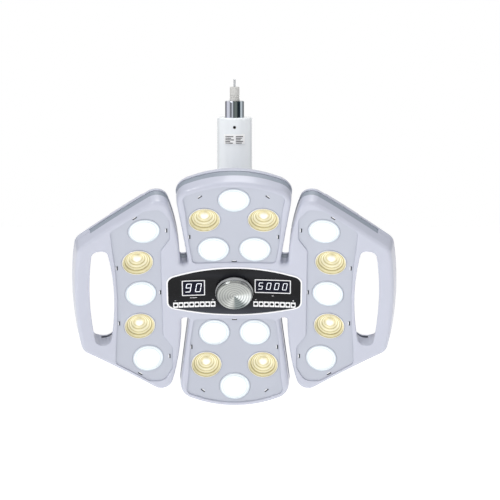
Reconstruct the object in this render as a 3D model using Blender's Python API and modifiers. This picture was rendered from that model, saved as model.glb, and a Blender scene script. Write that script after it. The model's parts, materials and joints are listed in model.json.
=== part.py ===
"""Dental operating light: a four-petal LED head on a swivelling column. Metres, +Z up."""
import math

import bmesh
import bpy
from mathutils import Matrix, Vector

# Driving dimensions. The origin is the centre of the mounting spigot's top face.
# Head outlines are (x, v): x to the right, v up along the face; w points out of the face.
FACE_ANGLE = math.radians(30)          # face normal below the horizontal
BOWL_RADIUS = 1.0                      # the face is a shallow dish of this radius
TILT_AXIS_Z = -0.202
FACE_REACH = 0.095                     # from the tilt axis to the face, along the normal
GAP = 0.0003                           # clearance between pieces that touch

COVER_WALL = 0.0025
COVER_ROUND = 0.004
FRONT_DEPTH = 0.015                    # front cover's side where the belt frame shows
HANDLE_SPLIT = 0.0187                  # covers meet here along the handles
BELT_DEPTH = 0.0074
BELT_INSET = 0.002
BELT_WIDTH = 0.004
REAR_DEPTH = 0.030
PAD_DEPTH = 0.038                      # rear of the bulge behind each petal
PAD_ROUND = 0.004
PAD_INSET = 0.001
PAD_FRONT = -0.020
CUT_LOW, CUT_HIGH = -0.07, 0.03          # depths of a cutter that passes through the whole head
SHEET = 0.5                            # side of a square larger than the head
PANE_CUT = 0.010                       # half depth of a cutter for a window in a thin wall
JOIN = 0.001                           # how far shapes that are joined reach into each other
GRID = 0.045                           # largest face left flat when the head is dished
FLAT_ANGLE = math.radians(0.4)
ARC_STEP = math.radians(38)

TOP_ARC_RADIUS = 0.140
TOP_ARC_CENTRE = 0.0505
TOP_ARC_HALF = math.radians(22)
PLATE_ARC_RADIUS = 0.1335
SLOT_END = 0.046                       # inner end of the gaps between petals
PETAL_CORNER = (0.0766, 0.1705, 0.024)
PETAL_ROOT = (0.061, SLOT_END, 0.004)
WING_ROOT_X = 0.0714
WING_FLARE = 0.0141                    # how far the wing's inner edge moves out by WING_FLARE_V
WING_FLARE_V = 0.104
WING_APEX = (0.0912, 0.170, 0.016)
WING_CORNER = (0.2065, 0.0875, 0.018)
HANDLE_X = 0.2135
HANDLE_ARC = 0.584
GRIP_IN_X, GRIP_OUT_X, GRIP_END = 0.161, 0.194, 0.078
GRIP_IN_BOW, GRIP_OUT_BOW = 1.2, 0.95
GRIP_CORNER = 0.010
GRIP_BAR_HALF = 0.070                  # the hand grips are bars fitted between the covers' corners
GRIP_BAR_X, GRIP_BAR_WIDE = 0.2075, 0.065

PLATE_TOP_SIDE = ((0.067, 0.1674, 0.010), (0.0635, 0.140, 0), (0.060, 0.085, 0), (0.055, 0.0475, 0.006))
PLATE_WING_SIDE = ((0.097, 0, 0), (0.097, 0.072, 0.010), (0.0845, 0.092, 0.012), (0.0845, 0.126, 0.015),
                   (0.0968, 0.1462, 0.012), (0.1172, 0.145, 0.010), (0.1628, 0.1122, 0.008),
                   (0.1615, 0.085, 0), (0.1583, 0.045, 0), (0.157, 0, 0))
BOARD_TOP_SIDE = ((0, 0.179, 0), (0.030, 0.1765, 0), (0.060, 0.163, 0.010), (0.055, 0.085, 0),
                  (0.050, 0.052, 0.004))
BOARD_WING_SIDE = ((0.101, 0, 0), (0.101, 0.075, 0.010), (0.092, 0.093, 0.010), (0.092, 0.130, 0.010),
                   (0.102, 0.141, 0.010), (0.119, 0.141, 0.010), (0.152, 0.114, 0.008), (0.152, 0, 0))
PLATE_FRONT, PLATE_BACK = -0.0018, -0.0048
PLATE_FLANGE = 0.0012

LENS_RADIUS = 0.0213
LENS_FLANGE = 0.0228
LENS_BACK = -0.0190
LENS_STEPS = 16
LENS_DOME, LENS_FLANGE_THICK, LENS_BACK_R = 0.0012, 0.0014, 0.008
PETAL_LENSES = ((0, 0.1585), (0.0387, 0.1231), (-0.0387, 0.1231), (0.0275, 0.0706), (-0.0275, 0.0706))
WING_LENSES = ((0.1183, 0.1082), (0.1282, 0.054), (0.1254, 0), (0.1282, -0.054), (0.1183, -0.1082))
CHIP_SIZE = 0.0035
CHIP_HEIGHT = 0.0009
CHIP_SUNK = 0.0001
BOARD_THICK = 0.0016
BOARD_FRONT = LENS_BACK - GAP - CHIP_HEIGHT
SINK_FRONT = BOARD_FRONT - BOARD_THICK - GAP
SINK_BASE = 0.002
SINK_BACK = -0.0350
SINK_INSET = 0.0015
FIN_PITCH, FIN_THICK = 0.012, 0.003

PANEL_HALF_H, PANEL_ARC = 0.039, 0.260
PANEL_CORNER = (0.089, 0.0242, 0.011)
PANEL_FRONT, PANEL_BACK = 0.0006, -0.0022
PANEL_HOLE_R = 0.010
DISPLAY_TWO = (-0.0548, 0.0065, 0.031, 0.026)      # centre x, v, width, height
DISPLAY_FOUR = (0.0515, 0.0089, 0.0485, 0.023)
DISPLAY_FRONT = 0.0003
DISPLAY_STANDOFF = 0.0008
CONTROL_BOARD = (0.0, 0.0, 0.150, 0.040)
CONTROL_FRONT = -0.0064
CONTROL_CORNER = 0.004
ENCODER_SIZE, ENCODER_FRONT = 0.013, -0.0026
ENCODER_NECK_R, ENCODER_NECK = 0.0045, 0.0024
ENCODER_FLOOR = 0.0015
SHAFT_R = 0.003
KNOB_R, KNOB_FRONT, KNOB_BACK = 0.0252, 0.0126, 0.0028
# Radius and depth below the front, from the middle of the knob out.
KNOB_FACE = ((0, 0.0012), (0.016, 0.0008), (0.0205, 0), (0.0238, 0), (KNOB_R, 0.0014))
KNOB_TOP, KNOB_WALL = 0.003, 0.0027
KNOB_STEPS = 28

HUB_PLATE_R, HUB_PLATE_FRONT, HUB_PLATE_BACK = 0.040, -0.026, -0.030
HUB_BOSS_R, HUB_BOSS_AT, HUB_BOSS_DROP = 0.004, 0.050, 0.0020     # the drop allows for the dishing
HUB_CONE = (0.044, 0.025, -0.036, -0.052)          # wide radius, narrow radius, their w
HUB_CONE_WALL = 0.003
HUB_CONE_FRONT = -0.025
HUB_EARS = (2 * HUB_BOSS_AT + 0.012, 0.014, 0.004)      # length, width, corner
HUB_STEPS, BOSS_STEPS = 24, 12
STEM_R, STEM_PIN_R = 0.0112, 0.008
STEM_CLEAR, STEM_TIP, STEM_FOOT = 0.003, 0.0005, 0.004
BUSH_R, BUSH_FLANGE_R, BUSH_FLANGE = 0.0105, 0.014, 0.0015
NUT_R, NUT_THICK = 0.013, 0.006

SPIGOT_R, SPIGOT_BORE, SPIGOT_END = 0.013, 0.0071, -0.070
SPIGOT_CHAMFER, SPIGOT_INSIDE = 0.0008, 0.003
TUBE_R, TUBE_BORE, TUBE_TOP, TUBE_END = 0.024, 0.021, -0.022, -0.165
TUBE_CAP = 0.006
TUBE_SHOULDER = ((0.004, 0), (0.0015, 0.0012), (0, 0.004))      # in from the radius, down from the top
TUBE_STEPS = 32
BUSH_TOP, BUSH_END = TUBE_TOP - TUBE_CAP - GAP, -0.060
CLIP_R, CLIP_THICK, CLIP_GROOVE = 0.017, 0.002, 0.0117
INSULATOR_R, INSULATOR_TOP, INSULATOR_END = 0.0068, 0.020, -0.012
INSULATOR_EDGE, INSULATOR_STEPS = 0.0008, 20
PIN_R, PIN_TOP, PIN_END = 0.0015, 0.031, 0.004
PIN_EDGE = 0.0005
SCREW_R, SCREW_Z, SCREW_END = 0.0021, -0.0345, 0.0165
LABEL_HALF_ANGLE, LABEL_TOP, LABEL_END = math.radians(35), -0.044, -0.057
LABEL_THICK = 0.0005
LABEL_STEPS = 96

FORK_SLOT, FORK_SLOT_TOP, FORK_END = 0.014, 0.028, 0.022    # half width; above and below the tilt axis
FORK_PLUG = 0.025
FORK_NOSE = ((0, 0.008), (0.003, 0.002), (0.008, 0))       # in from the radius, up from the end
PLUG_CHAMFER = 0.001
KNUCKLE_R, KNUCKLE_HALF = 0.018, 0.0120
WASHER_R = 0.014
TILT_PIN_R, TILT_HEAD_R, TILT_HEAD = 0.005, 0.0075, 0.0024
TILT_PIN_END = 0.0208
PIN_CUT = 0.035

PETALS = ("top", "bottom", "left", "right")
LENSES = {
    "top": PETAL_LENSES,
    "bottom": tuple((x, -v) for x, v in PETAL_LENSES),
    "right": WING_LENSES,
    "left": tuple((-x, v) for x, v in WING_LENSES),
}
WARM = {"top": (2, 3), "bottom": (2, 3), "left": (2, 4), "right": (2, 4)}
KNOB_TRAVEL = 0.0012

COLOURS = {
    "cover": ((0.80, 0.81, 0.88), 0.30, 0.0),
    "plate": ((0.55, 0.57, 0.66), 0.38, 0.0),
    "belt": ((0.27, 0.31, 0.38), 0.45, 0.0),
    "lens_cool": ((0.86, 0.94, 1.0), 0.08, 0.0),
    "lens_warm": ((1.0, 0.84, 0.52), 0.08, 0.0),
    "board": ((0.75, 0.76, 0.74), 0.50, 0.0),
    "aluminium": ((0.62, 0.63, 0.65), 0.40, 1.0),
    "panel": ((0.01, 0.01, 0.013), 0.12, 0.0),
    "display": ((0.02, 0.03, 0.08), 0.20, 0.0),
    "circuit": ((0.02, 0.16, 0.07), 0.55, 0.0),
    "dark_plastic": ((0.04, 0.04, 0.045), 0.50, 0.0),
    "knob": ((0.66, 0.66, 0.67), 0.28, 1.0),
    "steel": ((0.60, 0.61, 0.63), 0.30, 1.0),
    "chrome": ((0.80, 0.81, 0.83), 0.10, 1.0),
    "column": ((0.78, 0.79, 0.83), 0.20, 0.0),
    "insulator": ((0.49, 0.48, 0.46), 0.50, 0.0),
    "brass": ((0.70, 0.52, 0.24), 0.30, 1.0),
    "black_screw": ((0.02, 0.02, 0.02), 0.45, 0.0),
    "label": ((0.85, 0.85, 0.83), 0.50, 0.0),
}


def clear_scene():
    for old in list(bpy.data.objects):
        bpy.data.objects.remove(old, do_unlink=True)


def new_collection(name):
    made = bpy.data.collections.new(name)
    bpy.context.scene.collection.children.link(made)
    return made


def material(name):
    made = bpy.data.materials.get(name)
    if made is None:
        colour, rough, metal = COLOURS[name]
        made = bpy.data.materials.new(name)
        made.use_nodes = True
        shader = made.node_tree.nodes["Principled BSDF"]
        shader.inputs["Base Color"].default_value = (*colour, 1)
        shader.inputs["Roughness"].default_value = rough
        shader.inputs["Metallic"].default_value = metal
    return made


def rounded(corners):
    """Closed outline from (x, v, radius) corners, each turned by an arc of its radius."""
    points = []
    for i, (x, v, radius) in enumerate(corners):
        here = Vector((x, v))
        if radius == 0:
            points.append(here)
            continue
        before = (Vector(corners[i - 1][:2]) - here).normalized()
        after = (Vector(corners[(i + 1) % len(corners)][:2]) - here).normalized()
        half = before.angle(after) / 2
        centre = here + (before + after).normalized() * radius / math.sin(half)
        start = here + before * radius / math.tan(half) - centre
        turn = start.angle_signed(here + after * radius / math.tan(half) - centre)
        steps = max(1, round(abs(turn) / ARC_STEP))
        for k in range(steps + 1):
            points.append(centre + Matrix.Rotation(-turn * k / steps, 2) @ start)
    return points


def mirrored(half, axis):
    """Adds the mirror image of an open run of corners, sharing the ends that lie on the mirror."""
    flipped = [(-x, v, r) if axis == "X" else (x, -v, r) for x, v, r in reversed(half)]
    on_mirror = 0 if axis == "X" else 1
    if abs(half[-1][on_mirror]) < 1e-9:
        flipped = flipped[1:]
    if abs(half[0][on_mirror]) < 1e-9:
        flipped = flipped[:-1]
    return half + flipped


def arc_points(centre_v, radius, half_angle, count):
    """Points on an arc about (0, centre_v), from straight up to half_angle on the right."""
    angles = [half_angle * k / count for k in range(count + 1)]
    return [(radius * math.sin(a), centre_v + radius * math.cos(a), 0) for a in angles]


def head_outline():
    quadrant = arc_points(TOP_ARC_CENTRE, TOP_ARC_RADIUS, TOP_ARC_HALF, 3)
    quadrant += [PETAL_CORNER, PETAL_ROOT, (WING_ROOT_X, SLOT_END, 0.004)]
    for share in (0.25, 0.5, 0.75):
        flare = WING_ROOT_X + WING_FLARE * share * share
        quadrant.append((flare, SLOT_END + WING_FLARE_V * share, 0))
    quadrant += [WING_APEX, WING_CORNER]
    for v in (0.060, 0.030, 0.0):
        quadrant.append((HANDLE_X - v * v / (2 * HANDLE_ARC), v, 0))
    return rounded(mirrored(mirrored(quadrant, "Y"), "X"))


def grip_outline(side):
    """The hand hole between a wing and its handle bar."""
    inner = [(GRIP_IN_X + GRIP_IN_BOW * v * v, v, 0) for v in (0.0, 0.027, 0.054)]
    end_in = (GRIP_IN_X + GRIP_IN_BOW * GRIP_END ** 2, GRIP_END, GRIP_CORNER)
    end_out = (GRIP_OUT_X - GRIP_OUT_BOW * GRIP_END ** 2, GRIP_END, GRIP_CORNER)
    outer = [(GRIP_OUT_X - GRIP_OUT_BOW * v * v, v, 0) for v in (0.054, 0.027, 0.0)]
    points = rounded(mirrored(inner + [end_in, end_out] + outer, "Y"))
    return [Vector((side * p.x, p.y)) for p in points]


def belt_limit():
    """Everything but the handles: the belt frame stays inside this outline."""
    quadrant = [(0, 0.210, 0), (0.220, 0.210, 0), (0.191, 0.1025, 0), (0.1585, 0.084, 0.004), (0.1585, 0, 0)]
    return rounded(mirrored(mirrored(quadrant, "Y"), "X"))


def petal_outline(petal, top_half, wing_half):
    """A closed outline in the named petal, from half of it drawn in the top or the right petal."""
    if petal in ("top", "bottom"):
        sign = 1 if petal == "top" else -1
        return [Vector((p.x, sign * p.y)) for p in rounded(mirrored(top_half, "X"))]
    sign = 1 if petal == "right" else -1
    return [Vector((sign * p.x, p.y)) for p in rounded(mirrored(wing_half, "Y"))]


def plate_outline(petal):
    far_edge = arc_points(TOP_ARC_CENTRE, PLATE_ARC_RADIUS, TOP_ARC_HALF, 3)
    return petal_outline(petal, far_edge + list(PLATE_TOP_SIDE), list(PLATE_WING_SIDE))


def board_outline(petal):
    return petal_outline(petal, list(BOARD_TOP_SIDE), list(BOARD_WING_SIDE))


def panel_outline():
    quadrant = [(x, PANEL_HALF_H - x * x / (2 * PANEL_ARC), 0) for x in (0.0, 0.025, 0.050, 0.072)]
    quadrant += [PANEL_CORNER, (PANEL_CORNER[0], 0, 0)]
    return rounded(mirrored(mirrored(quadrant, "Y"), "X"))


def rectangle(cx, cv, width, height, corner=0.0):
    signs = ((-1, -1), (1, -1), (1, 1), (-1, 1))
    return rounded([(cx + sx * width / 2, cv + sy * height / 2, corner) for sx, sy in signs])


def circle(cx, cv, radius, steps=LENS_STEPS):
    angles = [math.tau * k / steps for k in range(steps)]
    return [Vector((cx + radius * math.cos(a), cv + radius * math.sin(a))) for a in angles]


def signed_area(points):
    pairs = zip(points, points[1:] + points[:1])
    return sum(a.x * b.y - b.x * a.y for a, b in pairs) / 2


def temp_object(name, mesh):
    made = bpy.data.objects.new(name, mesh)
    CUTTERS.objects.link(made)
    made.hide_render = True
    made.display_type = "WIRE"
    return made


def baked(source):
    """A plain mesh of an object with its curve settings and modifiers applied, seams welded."""
    bpy.context.view_layer.update()
    shaped = source.evaluated_get(bpy.context.evaluated_depsgraph_get())
    mesh = bpy.data.meshes.new_from_object(shaped)
    shape = bmesh.new()
    shape.from_mesh(mesh)
    bmesh.ops.remove_doubles(shape, verts=shape.verts, dist=0.00002)
    bmesh.ops.dissolve_limit(shape, angle_limit=FLAT_ANGLE, verts=shape.verts, edges=shape.edges)
    bmesh.ops.recalc_face_normals(shape, faces=shape.faces)
    shape.to_mesh(mesh)
    shape.free()
    bpy.data.objects.remove(source, do_unlink=True)
    return temp_object("shape", mesh)


def slab(outer, low, high, holes=(), round_edge=0.0, grow=0.0):
    """A flat solid between two depths, with holes, rounded edges and a grown or shrunk outline."""
    data = bpy.data.curves.new("slab", "CURVE")
    data.dimensions = "2D"
    data.fill_mode = "BOTH"
    data.bevel_depth = round_edge
    data.bevel_resolution = 0
    data.extrude = (high - low) / 2 - round_edge
    data.offset = grow - round_edge
    for index, outline in enumerate([outer] + list(holes)):
        wanted = 1 if index == 0 else -1
        points = outline if signed_area(outline) * wanted > 0 else outline[::-1]
        spline = data.splines.new("POLY")
        spline.points.add(len(points) - 1)
        for place, point in zip(spline.points, points):
            place.co = (point.x, point.y, 0, 1)
        spline.use_cyclic_u = True
    solid = baked(temp_object("slab", data))
    solid.data.transform(Matrix.Translation((0, 0, (low + high) / 2)))
    return solid


def turned(profile, steps=LENS_STEPS, centre=(0, 0)):
    """A solid of revolution about w from (radius, w) points running top to bottom outside."""
    mesh = bpy.data.meshes.new("profile")
    closed = profile[0][0] > 0
    count = len(profile)
    edges = [(i, i + 1) for i in range(count - 1)]
    if closed:
        edges.append((count - 1, 0))
    mesh.from_pydata([(r, 0, w) for r, w in profile], edges, [])
    source = temp_object("turned", mesh)
    screw = source.modifiers.new("Screw", "SCREW")
    screw.steps = steps
    screw.render_steps = steps
    screw.use_merge_vertices = True
    screw.merge_threshold = 0.00001
    solid = baked(source)
    solid.data.transform(Matrix.Translation((*centre, 0)))
    return solid


def box(size, centre):
    shape = bmesh.new()
    bmesh.ops.create_cube(shape, size=1)
    place = Matrix.Translation(centre) @ Matrix.Diagonal((*size, 1))
    bmesh.ops.transform(shape, matrix=place, verts=shape.verts)
    mesh = bpy.data.meshes.new("box")
    shape.to_mesh(mesh)
    shape.free()
    return temp_object("box", mesh)


def combined(solid, others, operation):
    """Joins, cuts or intersects a solid with each of the others in turn."""
    for other in others:
        step = solid.modifiers.new("Boolean", "BOOLEAN")
        step.operation = operation
        step.solver = "EXACT"
        step.object = other
        solid = baked(solid)
        bpy.data.objects.remove(other, do_unlink=True)
    return solid


def dish(solid):
    """Bends a flat head piece onto the shallow bowl of the face, keeping its thickness."""
    shape = bmesh.new()
    shape.from_mesh(solid.data)
    for axis in (0, 1):
        values = [vert.co[axis] for vert in shape.verts]
        if max(values) - min(values) < 2 * GRID:
            continue
        for k in range(math.ceil(min(values) / GRID), math.floor(max(values) / GRID) + 1):
            plane = Vector((0, 0, 0))
            plane[axis] = k * GRID
            normal = Vector((0, 0, 0))
            normal[axis] = 1
            everything = shape.verts[:] + shape.edges[:] + shape.faces[:]
            bmesh.ops.bisect_plane(shape, geom=everything, dist=0.00002, plane_co=plane, plane_no=normal)
    bmesh.ops.triangulate(shape, faces=shape.faces)
    for vert in shape.verts:
        x, v, w = vert.co
        radius = math.hypot(x, v)
        if radius < 1e-9:
            continue
        angle = radius / BOWL_RADIUS
        spread = (BOWL_RADIUS - w) * math.sin(angle) / radius
        vert.co = (x * spread, v * spread, BOWL_RADIUS - (BOWL_RADIUS - w) * math.cos(angle))
    shape.to_mesh(solid.data)
    shape.free()
    return solid


def finish(solid, name, parent, colour, smooth=True):
    """Turns a working shape into the named part, under its joint's empty."""
    mesh = solid.data
    bpy.data.objects.remove(solid, do_unlink=True)
    mesh.name = name
    made = bpy.data.objects.new(name, mesh)
    PARTS.objects.link(made)
    made.parent = parent
    mesh.materials.clear()
    mesh.materials.append(material(colour))
    if smooth:
        mesh.shade_smooth()
        mesh.set_sharp_from_angle(angle=math.radians(35))
    return made


def empty(name, place, turn=0.0, parent=None):
    made = bpy.data.objects.new(name, None)
    made.empty_display_size = 0.03
    PARTS.objects.link(made)
    made.parent = parent
    made.location = place
    made.rotation_euler = (turn, 0, 0)
    return made


def raised(solid):
    """Moves a head piece from face depths to the head empty, whose origin is on the tilt axis."""
    solid.data.transform(Matrix.Translation((0, 0, FACE_REACH)))
    return solid


def along_x(solid):
    solid.data.transform(Matrix.Rotation(math.radians(90), 4, "Y"))
    return solid


def grip_region(side, grow):
    """Everything that belongs to one hand grip, a little larger or smaller."""
    bar = rectangle(side * GRIP_BAR_X, 0, GRIP_BAR_WIDE, 2 * GRIP_BAR_HALF)
    return slab(bar, CUT_LOW, CUT_HIGH, (), 0, grow)


def make_grips(head):
    outline = head_outline()
    holes = [grip_outline(-1), grip_outline(1)]
    for side, name in ((-1, "left_grip"), (1, "right_grip")):
        bar = slab(outline, -REAR_DEPTH, 0, holes, COVER_ROUND)
        bore = slab(outline, -REAR_DEPTH + COVER_WALL, -COVER_WALL, holes, 0, -COVER_WALL)
        bar = combined(bar, [bore], "DIFFERENCE")
        bar = combined(bar, [grip_region(side, -GAP / 2)], "INTERSECT")
        finish(raised(dish(bar)), name, head, "cover")


def make_covers(head):
    outline = head_outline()
    grips = [grip_outline(-1), grip_outline(1)]
    limit = belt_limit()
    split = rectangle(0, 0, SHEET, SHEET)

    front = slab(outline, -REAR_DEPTH, 0, grips, COVER_ROUND)
    cuts = [slab(split, CUT_LOW, -HANDLE_SPLIT), slab(limit, CUT_LOW, -FRONT_DEPTH)]
    cuts.append(slab(outline, CUT_LOW, -COVER_WALL, grips, 0, -COVER_WALL))
    cuts += [slab(plate_outline(p), -PANE_CUT, PANE_CUT, (), 0, GAP) for p in PETALS]
    cuts.append(slab(panel_outline(), -PANE_CUT, PANE_CUT, (), 0, GAP))
    cuts += [grip_region(side, GAP / 2) for side in (-1, 1)]
    front = combined(front, cuts, "DIFFERENCE")
    finish(raised(dish(front)), "front_cover", head, "cover")

    belt_top = -FRONT_DEPTH - GAP
    belt_low = -FRONT_DEPTH - BELT_DEPTH + GAP
    belt = slab(outline, belt_low, belt_top, grips, 0, -BELT_INSET)
    belt = combined(belt, [slab(limit, CUT_LOW, CUT_HIGH, (), 0, -GAP)], "INTERSECT")
    hollow = slab(outline, CUT_LOW, CUT_HIGH, grips, 0, -BELT_INSET - BELT_WIDTH)
    inner = slab(limit, CUT_LOW - JOIN, CUT_HIGH + JOIN, (), 0, -BELT_WIDTH)
    hollow = combined(hollow, [inner], "INTERSECT")
    belt = combined(belt, [hollow], "DIFFERENCE")
    finish(raised(dish(belt)), "belt_frame", head, "belt")

    rear = slab(outline, -REAR_DEPTH, 0, grips, COVER_ROUND)
    wide, narrow, cone_top, cone_end = HUB_CONE
    pads = [slab(plate_outline(p), -PAD_DEPTH, PAD_FRONT, (), PAD_ROUND, -PAD_INSET) for p in PETALS]
    pads.append(slab(panel_outline(), -PAD_DEPTH, PAD_FRONT, (), PAD_ROUND))
    cone = [(0, HUB_CONE_FRONT), (wide, HUB_CONE_FRONT), (wide, cone_top), (narrow, cone_end), (0, cone_end)]
    pads.append(turned(cone, HUB_STEPS))
    rear = combined(rear, pads, "UNION")
    cuts = [slab(split, -HANDLE_SPLIT - GAP, CUT_HIGH), slab(limit, -FRONT_DEPTH - BELT_DEPTH, CUT_HIGH)]
    cuts.append(slab(outline, -REAR_DEPTH + COVER_WALL, CUT_HIGH, grips, 0, -COVER_WALL))
    inner = -PAD_DEPTH + COVER_WALL
    cuts += [slab(plate_outline(p), inner, CUT_HIGH, (), 0, -PAD_INSET - COVER_WALL) for p in PETALS]
    cuts.append(slab(panel_outline(), inner, CUT_HIGH, (), 0, -COVER_WALL))
    wall = HUB_CONE_WALL
    cuts.append(turned([(0, 0), (wide - wall, 0), (wide - wall, cone_top), (narrow - wall, cone_end + wall),
                        (0, cone_end + wall)], HUB_STEPS))
    stem_hole = STEM_R + STEM_CLEAR
    cuts.append(turned([(0, 0), (stem_hole, 0), (stem_hole, CUT_LOW), (0, CUT_LOW)], HUB_STEPS))
    rear = combined(rear, cuts, "DIFFERENCE")
    bosses = []
    for side in (-1, 1):
        boss_top, boss_foot = HUB_PLATE_BACK - HUB_BOSS_DROP, -PAD_DEPTH + COVER_WALL / 2
        profile = [(0, boss_top), (HUB_BOSS_R, boss_top), (HUB_BOSS_R, boss_foot), (0, boss_foot)]
        bosses.append(turned(profile, BOSS_STEPS, (side * HUB_BOSS_AT, 0)))
    rear = combined(rear, bosses, "UNION")
    rear = combined(rear, [grip_region(side, GAP / 2) for side in (-1, 1)], "DIFFERENCE")
    finish(raised(dish(rear)), "rear_cover", head, "cover")


def make_plates(head):
    for petal in PETALS:
        outline = plate_outline(petal)
        flange_front = -COVER_WALL - GAP
        plate = slab(outline, flange_front - JOIN, PLATE_FRONT)
        flange = slab(outline, PLATE_BACK, flange_front, (), 0, PLATE_FLANGE)
        plate = combined(plate, [flange], "UNION")
        holes = [slab(circle(x, v, LENS_RADIUS + GAP), -PANE_CUT, PANE_CUT) for x, v in LENSES[petal]]
        plate = combined(plate, holes, "DIFFERENCE")
        finish(raised(dish(plate)), "lens_plate_" + petal, head, "plate")


def make_optics(head):
    for petal in PETALS:
        for index, (x, v) in enumerate(LENSES[petal], 1):
            neck = PLATE_BACK - GAP
            profile = [(0, PLATE_FRONT + LENS_DOME), (LENS_RADIUS, PLATE_FRONT), (LENS_RADIUS, neck),
                       (LENS_FLANGE, neck), (LENS_FLANGE, neck - LENS_FLANGE_THICK), (LENS_BACK_R, LENS_BACK),
                       (0, LENS_BACK)]
            name = "lens_%s_%d" % (petal, index)
            colour = "lens_warm" if index in WARM[petal] else "lens_cool"
            finish(raised(dish(turned(profile, LENS_STEPS, (x, v)))), name, head, colour)


def make_boards(head):
    for petal in PETALS:
        outline = board_outline(petal)
        board = slab(outline, BOARD_FRONT - BOARD_THICK, BOARD_FRONT)
        chips = []
        for x, v in LENSES[petal]:
            centre = (x, v, BOARD_FRONT + CHIP_HEIGHT / 2 - CHIP_SUNK)
            chips.append(box((CHIP_SIZE, CHIP_SIZE, CHIP_HEIGHT), centre))
        board = combined(board, chips, "UNION")
        finish(raised(dish(board)), "led_board_" + petal, head, "board", False)

        sink = slab(outline, SINK_BACK, SINK_FRONT, (), 0, -SINK_INSET)
        fin_top = SINK_FRONT - SINK_BASE
        xs = [p.x for p in outline]
        middle = (min(xs) + max(xs)) / 2
        count = int((max(xs) - min(xs)) / 2 / FIN_PITCH)
        cuts = []
        for k in range(-count - 1, count + 1):
            centre = (middle + (k + 0.5) * FIN_PITCH, 0, (fin_top + CUT_LOW) / 2)
            cuts.append(box((FIN_PITCH - FIN_THICK, SHEET, fin_top - CUT_LOW), centre))
        sink = combined(sink, cuts, "DIFFERENCE")
        finish(raised(dish(sink)), "heat_sink_" + petal, head, "aluminium", False)


def make_controls(head, plunger, knob_turn):
    windows = [rectangle(x, v, width + 2 * GAP, height + 2 * GAP) for x, v, width, height
               in (DISPLAY_TWO, DISPLAY_FOUR)]
    panel = slab(panel_outline(), PANEL_BACK, PANEL_FRONT, windows + [circle(0, 0, PANEL_HOLE_R)])
    finish(raised(dish(panel)), "control_panel", head, "panel")
    displays = (("display_two_digit", DISPLAY_TWO), ("display_four_digit", DISPLAY_FOUR))
    for name, (x, v, width, height) in displays:
        module = slab(rectangle(x, v, width, height), CONTROL_FRONT + DISPLAY_STANDOFF, DISPLAY_FRONT)
        finish(raised(dish(module)), name, head, "display", False)
    x, v, width, height = CONTROL_BOARD
    board = slab(rectangle(x, v, width, height, CONTROL_CORNER), CONTROL_FRONT - BOARD_THICK, CONTROL_FRONT)
    finish(raised(dish(board)), "control_board", head, "circuit", False)

    encoder_back = CONTROL_FRONT + DISPLAY_STANDOFF
    body_size = (ENCODER_SIZE, ENCODER_SIZE, ENCODER_FRONT - encoder_back)
    body = box(body_size, (0, 0, (ENCODER_FRONT + encoder_back) / 2))
    neck_foot = ENCODER_FRONT - JOIN
    neck = turned([(0, ENCODER_NECK), (ENCODER_NECK_R, ENCODER_NECK), (ENCODER_NECK_R, neck_foot),
                   (0, neck_foot)])
    floor = CONTROL_FRONT + ENCODER_FLOOR
    shaft_hole = SHAFT_R + GAP
    bore = turned([(0, PANE_CUT), (shaft_hole, PANE_CUT), (shaft_hole, floor), (0, floor)])
    encoder = combined(combined(body, [neck], "UNION"), [bore], "DIFFERENCE")
    finish(raised(encoder), "encoder_body", head, "dark_plastic")

    shaft_end = floor + KNOB_TRAVEL + GAP
    socket = KNOB_FRONT - KNOB_TOP
    shaft = turned([(0, socket - GAP), (SHAFT_R, socket - GAP), (SHAFT_R, shaft_end), (0, shaft_end)])
    finish(raised(shaft), "encoder_plunger", plunger, "steel")
    inside = KNOB_R - KNOB_WALL
    hub_end = ENCODER_NECK + KNOB_TRAVEL + 2 * GAP
    profile = [(radius, KNOB_FRONT - depth) for radius, depth in KNOB_FACE]
    profile += [(KNOB_R, KNOB_BACK), (inside, KNOB_BACK), (inside, socket), (2 * SHAFT_R, socket),
                (2 * SHAFT_R, hub_end), (shaft_hole, hub_end), (shaft_hole, socket), (0, socket)]
    finish(raised(turned(profile, KNOB_STEPS)), "knob", knob_turn, "knob")


def tilt_bore():
    """The cutter for the tilt pin's hole, along X through the tilt axis."""
    radius = TILT_PIN_R + GAP
    return along_x(turned([(0, PIN_CUT), (radius, PIN_CUT), (radius, -PIN_CUT), (0, -PIN_CUT)], HUB_STEPS))


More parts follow.
